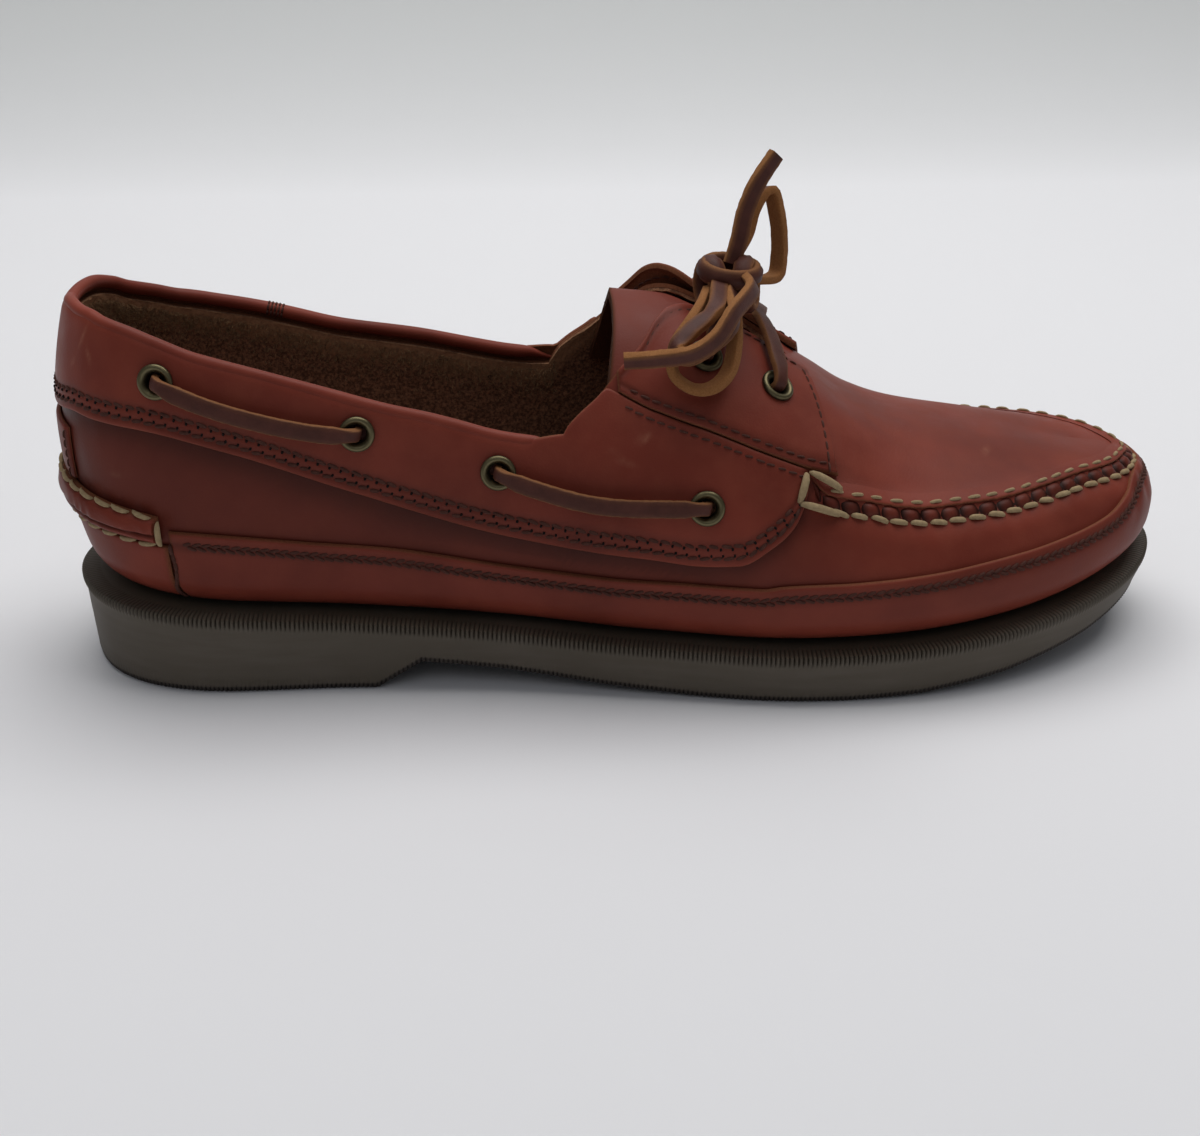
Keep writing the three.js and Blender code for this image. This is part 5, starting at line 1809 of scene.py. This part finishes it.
@dataclass
class Threads:
    """Every row of sewing on the shoe."""

    brown: Stitcher = field(default_factory=lambda: Stitcher(seed=31))
    cream: Stitcher = field(default_factory=lambda: Stitcher(seed=77, sides=10))
    holes: Stitcher = field(default_factory=lambda: Stitcher(seed=51, sides=6))
    band_stitch: Stitch = Stitch(3.1, 3.1, 0.95, 12, 0.02)
    hole: Stitch = Stitch(3.1, 0.7, 0.8)
    stay_stitch: Stitch = Stitch(3.0, 2.5, 0.6, 8, 0.1)
    foxing_stitch: Stitch = Stitch(2.5, 3.2, 0.95, 20, 0.02)
    ridge_above: Stitch = Stitch(6.0, 5.4, 1.35, -10, 0.55)
    ridge_below: Stitch = Stitch(6.0, 5.4, 1.35, 8, 0.35)
    cup_stitch: Stitch = Stitch(2.4, 2.9, 1.1, 20, 0.1)
    back_stitch: Stitch = Stitch(2.6, 2.3, 0.6, 0, 0.1)
    lip_stitch: Stitch = Stitch(5.6, 3.9, 0.95, 3, 0.12)
    pillow_stitch: Stitch = Stitch(5.6, 5.3, 1.5, -9, 0.25)

    def band(self) -> None:
        """Two slanted rows along the band's low edge, their needle holes as painted shadow, and one
        beside the eyestay.
        """
        u = np.linspace(-5.97, 5.97, 1500)
        foot = BAND_FOOT(LAST.station(u))
        for away, beside, way, end in ((2.4, 0.75, 1, 5.97), (5.6, -0.75, -1, 5.85)):
            keep = LAST.station(u) < end
            line, holes = [LAST.girth_away(u, foot, by)[keep] for by in (away, away + beside)]
            self.brown.row(u[keep], line, -0.3, self.band_stitch, way)
            # Painted shadow: dark capsules where the needle holes are, beside the stitches
            self.holes.row(u[keep], holes, -0.12, self.hole, shift=0.98)
        for side in (1, -1):
            at = side * np.linspace(4.78, 5.98, 200)
            edge = LAST.girth_away(at, STAY_FOOT(LAST.station(at)), -2.9)
            self.brown.row(at, edge, 0.0, self.stay_stitch, side)

    def stays(self) -> None:
        """Rows inside the eyestays' edges."""
        for side in (1, -1):
            at = np.linspace(4.82, 6.13, 200) * side
            low = LAST.girth_away(at, STAY_FOOT(LAST.station(at)), 2.2)
            self.brown.row(at, low, 0.3, self.stay_stitch, side)
            at = np.linspace(4.95, 6.1, 200) * side
            top = LAST.girth_short(at, throat_edge(at), 2.6)
            self.brown.row(at, top, 0.3, self.stay_stitch, side)
            front = np.linspace(0, 1, 60)
            bow = (6.13 + 0.02 * np.sin(math.pi * front)) * side
            self.brown.row(bow, 2.44 + 0.4 * front, 0.3, self.stay_stitch)

    def foxing(self) -> None:
        """Two close rows under the foxing's top edge that read as a braid."""
        u = np.linspace(2.0, LAST.turn - 2.0, 2400)
        top = FOXING_TOP(LAST.station(u))
        for away, way, shift in ((2.8, 1, 0.5), (4.1, -1, 0.98)):
            line = LAST.girth_away(u, top, -away)
            self.brown.row(u, line, -0.3, self.foxing_stitch, way, shift)

    def heel(self) -> None:
        """Cream rows round the rolled ridge, dark seams of the cup and the stay."""
        u = np.linspace(-1.78, 1.78, 400)
        for girth, stitch in ((1.615, self.ridge_above), (1.325, self.ridge_below)):
            self.cream.row(u, np.full(u.shape, girth), 0.25, stitch)
        for side in (1, -1):
            at = np.array([1.83 * side, 1.83 * side])
            spot = LAST.at(at, np.array([1.34, 1.6]), 1.6)
            self.cream.add(spot[:1], spot[1:], LAST.normal(at[:1], 1.47), 1.6, 0.3)
            share = np.linspace(0, 1, 60)
            seam = (1.885 - 0.03 * np.sin(share * 2 * math.pi)) * side
            self.brown.row(seam, 0.35 + 0.97 * share, -0.3, self.cup_stitch)
            stay = (0.66 - 0.02 * share) * side
            self.brown.row(stay, 1.66 + 0.38 * share, 0.1, self.back_stitch)

    def moccasin(self) -> None:
        """Cream rows on the lip and under the pillows, with the wrapped start of the seam."""
        u = np.linspace(6.1, LAST.turn - 6.1, 2400)
        line = MOC_LINE(LAST.station(u))
        self.cream.row(u, LAST.girth_away(u, line, 1.5), -0.5, self.lip_stitch)
        self.cream.row(u, LAST.girth_away(u, line, -4.2), -1.45, self.pillow_stitch)
        corners = ((5.97, 2.415, 0.2), (5.89, 2.31, 0.2), (6.18, 2.315, -0.7), (6.21, 2.4, -0.1),
                   (5.99, 2.42, 0.3))
        for side in (1, -1):
            spots = [LAST.at(at * side, girth, out) for at, girth, out in corners]
            up = LAST.normal(5.95 * side, 2.38)
            for first, second in ((0, 1), (1, 2), (4, 3)):
                self.cream.add(spots[first], spots[second], up, 2.0, 0.5)

    def bar_tack(self) -> None:
        """Thread wound five times over the bead of the far collar."""
        for k in range(5):
            at = np.array([17.42 + 0.022 * k])
            girth = LAST.girth_short(at, collar_girth(at), 2.0)
            middle, out = LAST.at(at, girth, -1.95), LAST.normal(at, girth)
            run = LAST.point(at + 0.01, girth) - LAST.point(at, girth)
            up = unit(np.cross(run, out))
            up = up * np.sign(up[:, 2:3])
            turned = [2.15 * (math.cos(a) * out + math.sin(a) * up) for a in (1.1, 2.0, 2.9, 3.6)]
            for first, second in zip(turned[:-1], turned[1:]):
                self.brown.add(middle + first, middle + second, unit(first + second), 0.6)

    def build(self, wardrobe: Wardrobe) -> None:
        """Builds and dresses both threads and their holes."""
        self.band()
        self.stays()
        self.foxing()
        self.heel()
        self.moccasin()
        self.bar_tack()
        dress(self.brown.build("brown_stitching"), wardrobe.brown_thread)
        dress(self.cream.build("cream_stitching"), wardrobe.cream_thread)
        dress(self.holes.build("needle_hole_shadows"), wardrobe.shadow)


@dataclass
class Overlays:
    """The leather pieces that lie over the upper."""

    eyelets: EyeletSet
    gap: float = 0.4

    def band(self) -> Panel:
        """Quarter band from moccasin seam to moccasin seam round the heel."""
        def low(u: np.ndarray) -> np.ndarray:
            """Girth of the band's lower edge."""
            return BAND_FOOT(LAST.station(u))

        def high(u: np.ndarray) -> np.ndarray:
            """Girth of the band's upper edge."""
            at = LAST.station(u)
            collar = collar_girth(u)
            tucked = LAST.girth_short(u, collar, 1.0)
            top = tucked + (collar - tucked) * smoothstep(at, 4.1, 4.4)
            under = LAST.girth_short(u, STAY_FOOT(at), self.gap)
            return np.where(at < 4.4, top, np.minimum(THROAT(at) - 0.002, under))

        return Panel("quarter_band_leather", -5.99, 5.99, low, high, 420, 24,
                     dips=((2.4, False, 0.3), (5.6, False, 0.3)), tuck=4.2, raw_tone=0.6)

    def stay(self, side: Side) -> Panel:
        """Eyestay beside the throat."""
        def low(u: np.ndarray) -> np.ndarray:
            """Girth of the stay's lower edge."""
            return STAY_FOOT(LAST.station(u))

        outer = side is Side.OUTER
        start, end = (4.75, 6.2) if outer else (LAST.turn - 6.2, LAST.turn - 4.75)
        return Panel(f"eyestay_leather_{side.value}", start, end, low, throat_edge, 90, 24,
                     lift=0.4, dips=((2.2, False, 0.2), (2.6, True, 0.2)),
                     flare=0.6 if outer else 4.0)

    def foxing(self) -> Panel:
        """Strip along the foot of the vamp round the toe."""
        def low(u: np.ndarray) -> np.ndarray:
            """Girth of its edge under the shoe."""
            return np.full(np.shape(u), 0.25)

        def high(u: np.ndarray) -> np.ndarray:
            """Girth of its upper edge."""
            return FOXING_TOP(LAST.station(u))

        # tone=0.12 darkens the foxing with painted shade, like the lower quarter above it
        return Panel("foxing_leather", 1.885, LAST.turn - 1.885, low, high, 460, 18,
                     dips=((3.5, True, 0.35),), raw_tone=0.8, tone=0.12)

    def heel(self) -> list:
        """Heel cup, ridge and back stay."""
        def flat(value: float) -> Line:
            """The same girth all along."""
            return Line(((0, value), (LAST.turn, value)))

        return [
            (Panel("heel_cup_leather", -1.86, 1.86, flat(0.25), flat(1.3), 90, 12), "heel_cup"),
            (Panel("heel_ridge_leather", -1.8, 1.8, flat(1.34), flat(1.6), 160, 14, lift=0.5,
                   raw_share=0.2, puff=1.9), "heel_ridge"),
            (Panel("heel_stay_leather", -0.66, 0.66, flat(1.64), flat(2.05), 40, 12, lift=-0.2,
                   raw_tone=0.0, tone=0.12), "heel_stay"),
        ]

    def build(self, wardrobe: Wardrobe) -> None:
        """Builds and dresses the overlays."""
        band = self.band().build()
        self.eyelets.bore(band)
        dress(band, wardrobe.leather, ("quarter_band",))
        for side in Side:
            stay = self.stay(side).build()
            self.eyelets.bore(stay)
            dress(stay, wardrobe.leather, (f"eyestay_{side.value}",))
        dress(self.foxing().build(), wardrobe.leather, ("foxing",))
        for panel, node in self.heel():
            dress(panel.build(), wardrobe.leather, (node,))


@dataclass
class CollarRoll:
    """Rolled leather bead along the collar's edge."""

    radius: float = 1.8
    offset: float = -2.0
    end: float = 4.38
    sides: int = 18

    def centre_line(self) -> tuple:
        """Middle of the bead round the collar, with its stations and girths."""
        u = np.linspace(-self.end, self.end, 260)
        girth = LAST.girth_short(u, collar_girth(u), self.radius)
        girth = LAST.girth_short(u, girth, 1.6 * smoothstep(np.abs(u), 4.2, self.end))
        return LAST.at(u, girth, self.offset), u, girth

    def build(self, wardrobe: Wardrobe) -> None:
        """Builds and dresses the bead."""
        line, u, girth = self.centre_line()
        run = unit(np.gradient(line, axis=0))
        out = LAST.normal(u, girth)
        up = unit(np.cross(out, run))
        turns = np.linspace(0, 2 * math.pi, self.sides, endpoint=False)
        taper = 1 - 0.75 * smoothstep(np.abs(u), 4.15, self.end)
        radius = self.radius * ((1 + 0.015 * np.sin(u * 9)) * taper)[:, None, None]
        rings = line[:, None] + radius * (np.cos(turns)[None, :, None] * out[:, None]
                                          + np.sin(turns)[None, :, None] * up[:, None])
        piece = skin("collar_bead", rings, PLAIN)
        dress(piece, wardrobe.leather, ("collar_roll",))


@dataclass
class Tongue:
    """Soft leather tongue under the throat."""

    start: float = 4.62
    end: float = 6.62
    out: float = -4.69
    thick: float = 2.0
    rounding: float = 0.19
    columns: int = 70

    def build(self, wardrobe: Wardrobe) -> None:
        """Builds and dresses the tongue."""
        place = np.linspace(self.start, self.end, self.columns)
        share = np.linspace(-1, 1, 61)
        low = 2.36 + 0.08 * (place - self.start)
        forward = (self.end - place) / (self.end - self.start)
        at = place[:, None] + self.rounding * (1 - share**2)[None] * forward[:, None] ** 3
        girth = 3 - (3 - low)[:, None] * np.abs(share)[None]
        u = np.where(share[None] < 0, at, LAST.turn - at)
        outer, inner = [LAST.at(u, girth, out) for out in (self.out, self.out - self.thick)]
        edge = np.minimum(np.arange(self.columns)[:, None], (1 - np.abs(share))[None] * 30)
        raw = np.concatenate([1 - smoothstep(edge, 0.2, 1.2), np.ones(u.shape)], axis=1)
        rings = np.concatenate([outer, inner[:, ::-1]], axis=1)
        piece = skin("tongue_leather", rings, {"raw": raw, "shade": 0.0, "scuff": 0.0})
        dress(piece, wardrobe.tongue_leather, ("tongue",))


@dataclass
class Outsole:
    """Moulded rubber sole with its ribbed rim, heel block and sprung toe."""

    rib_pitch: float = 1.2
    rib_depth: float = 0.5
    rib_wave: tuple = (-1.0, -0.6, 1.0, -0.6)
    lip: float = 2.6

    def build(self, wardrobe: Wardrobe) -> None:
        """Builds and dresses the sole."""
        fine = np.linspace(0, LAST.turn, 4000)
        along = run_length(np.stack(LAST.rim(fine, 0.6), axis=1))
        ribs = 2 * int(round(along[-1] / self.rib_pitch / 2))
        count = ribs * len(self.rib_wave)
        u = np.interp(np.linspace(0, along[-1], count, endpoint=False), along, fine)
        wave = np.tile(self.rib_wave, ribs)
        x0 = LAST.rim(u, 0.0)[0]
        top, low = LAST.seat(x0 / LAST.sole_length), LAST.tread(x0)
        lip = top - self.lip
        # Inset, height and share of the ribs, from under the insole round to the tread
        profile = [
            (30.0, top - 1.5, 0.0), (9.0, top - 0.2, 0.0), (5.2, top, 0.0), (4.6, top, 0.6),
            (2.2, top, 1.0), (0.9, top - 0.25, 1.0), (0.45, top - 0.9, 1.0),
            (0.4, lip + 0.7, 0.8), (0.45, lip, 0.3), (0.65, lip - 0.7, 0.0),
        ]
        profile += [(0.85 + 1.5 * t, (lip - 1.5) * (1 - t) + (low + 2.2) * t, 0.0)
                    for t in np.linspace(0, 1, 7)]
        profile += [(2.75, low + 1.5, 0.5), (3.0, low + 0.9, 0.8), (3.5, low + 0.25, 0.6),
                    (4.2, low, 0.0)]
        rings = []
        for inset, height, rib in profile:
            depth = self.rib_depth * wave * rib
            x, y = LAST.rim(u, inset + depth)
            drop = np.where(inset > 1.5, 0.35, 0.0) * rib * np.clip(wave, 0, 1) * (inset < 5)
            rings.append(np.stack([x, y, height - drop * (height > low + 3)], axis=1))
        # Painted shade in the rib grooves and over the ribbed rows, and darker round the bottom
        # edge
        shades = [np.clip(0.42 * rib + 0.4 * rib * wave, 0, 1)
                  + (0.8 if row > len(profile) - 5 else 0.0)
                  for row, (_, _, rib) in enumerate(profile)]
        flat = np.stack(rings, axis=1).reshape(-1, 3)
        rows = len(profile)
        faces = []
        for i in range(count):
            a, b = i * rows, ((i + 1) % count) * rows
            faces += [(a + j, b + j, b + j + 1, a + j + 1) for j in range(rows - 1)]
        half = count // 2
        for end in (0, rows - 1):
            for i in range(half):
                j, k = (count - i) % count, (count - i - 1) % count
                quad = [i * rows + end, (i + 1) * rows + end, k * rows + end, j * rows + end]
                quad = list(dict.fromkeys(quad))
                if len(quad) > 2:
                    faces.append(tuple(quad if end == 0 else reversed(quad)))
        shade = np.stack(shades, axis=1)
        piece = new_piece("rubber_sole", flat, facing_out(flat, faces), {"shade": shade}, 40)
        dress(piece, wardrobe.rubber, ("outsole",))


ORIGIN = place_of_last()


def main() -> None:
    """Builds the shoe in order and reports each piece."""
    logging.basicConfig(level=logging.INFO, format="%(name)s %(message)s", stream=sys.stdout)
    wardrobe = Wardrobe()
    Studio().build(wardrobe.paper)
    Bow().build(wardrobe)
    eyelets = EyeletSet()
    eyelets.build(wardrobe)
    SideLaces(eyelets).build(wardrobe)
    Outsole().build(wardrobe)
    Upper().build(wardrobe, eyelets)
    Overlays(eyelets).build(wardrobe)
    CollarRoll().build(wardrobe)
    Tongue().build(wardrobe)
    Insole().build(wardrobe)
    MocSeam().build(wardrobe)
    Threads().build(wardrobe)


if __name__ == "__main__":
    main()
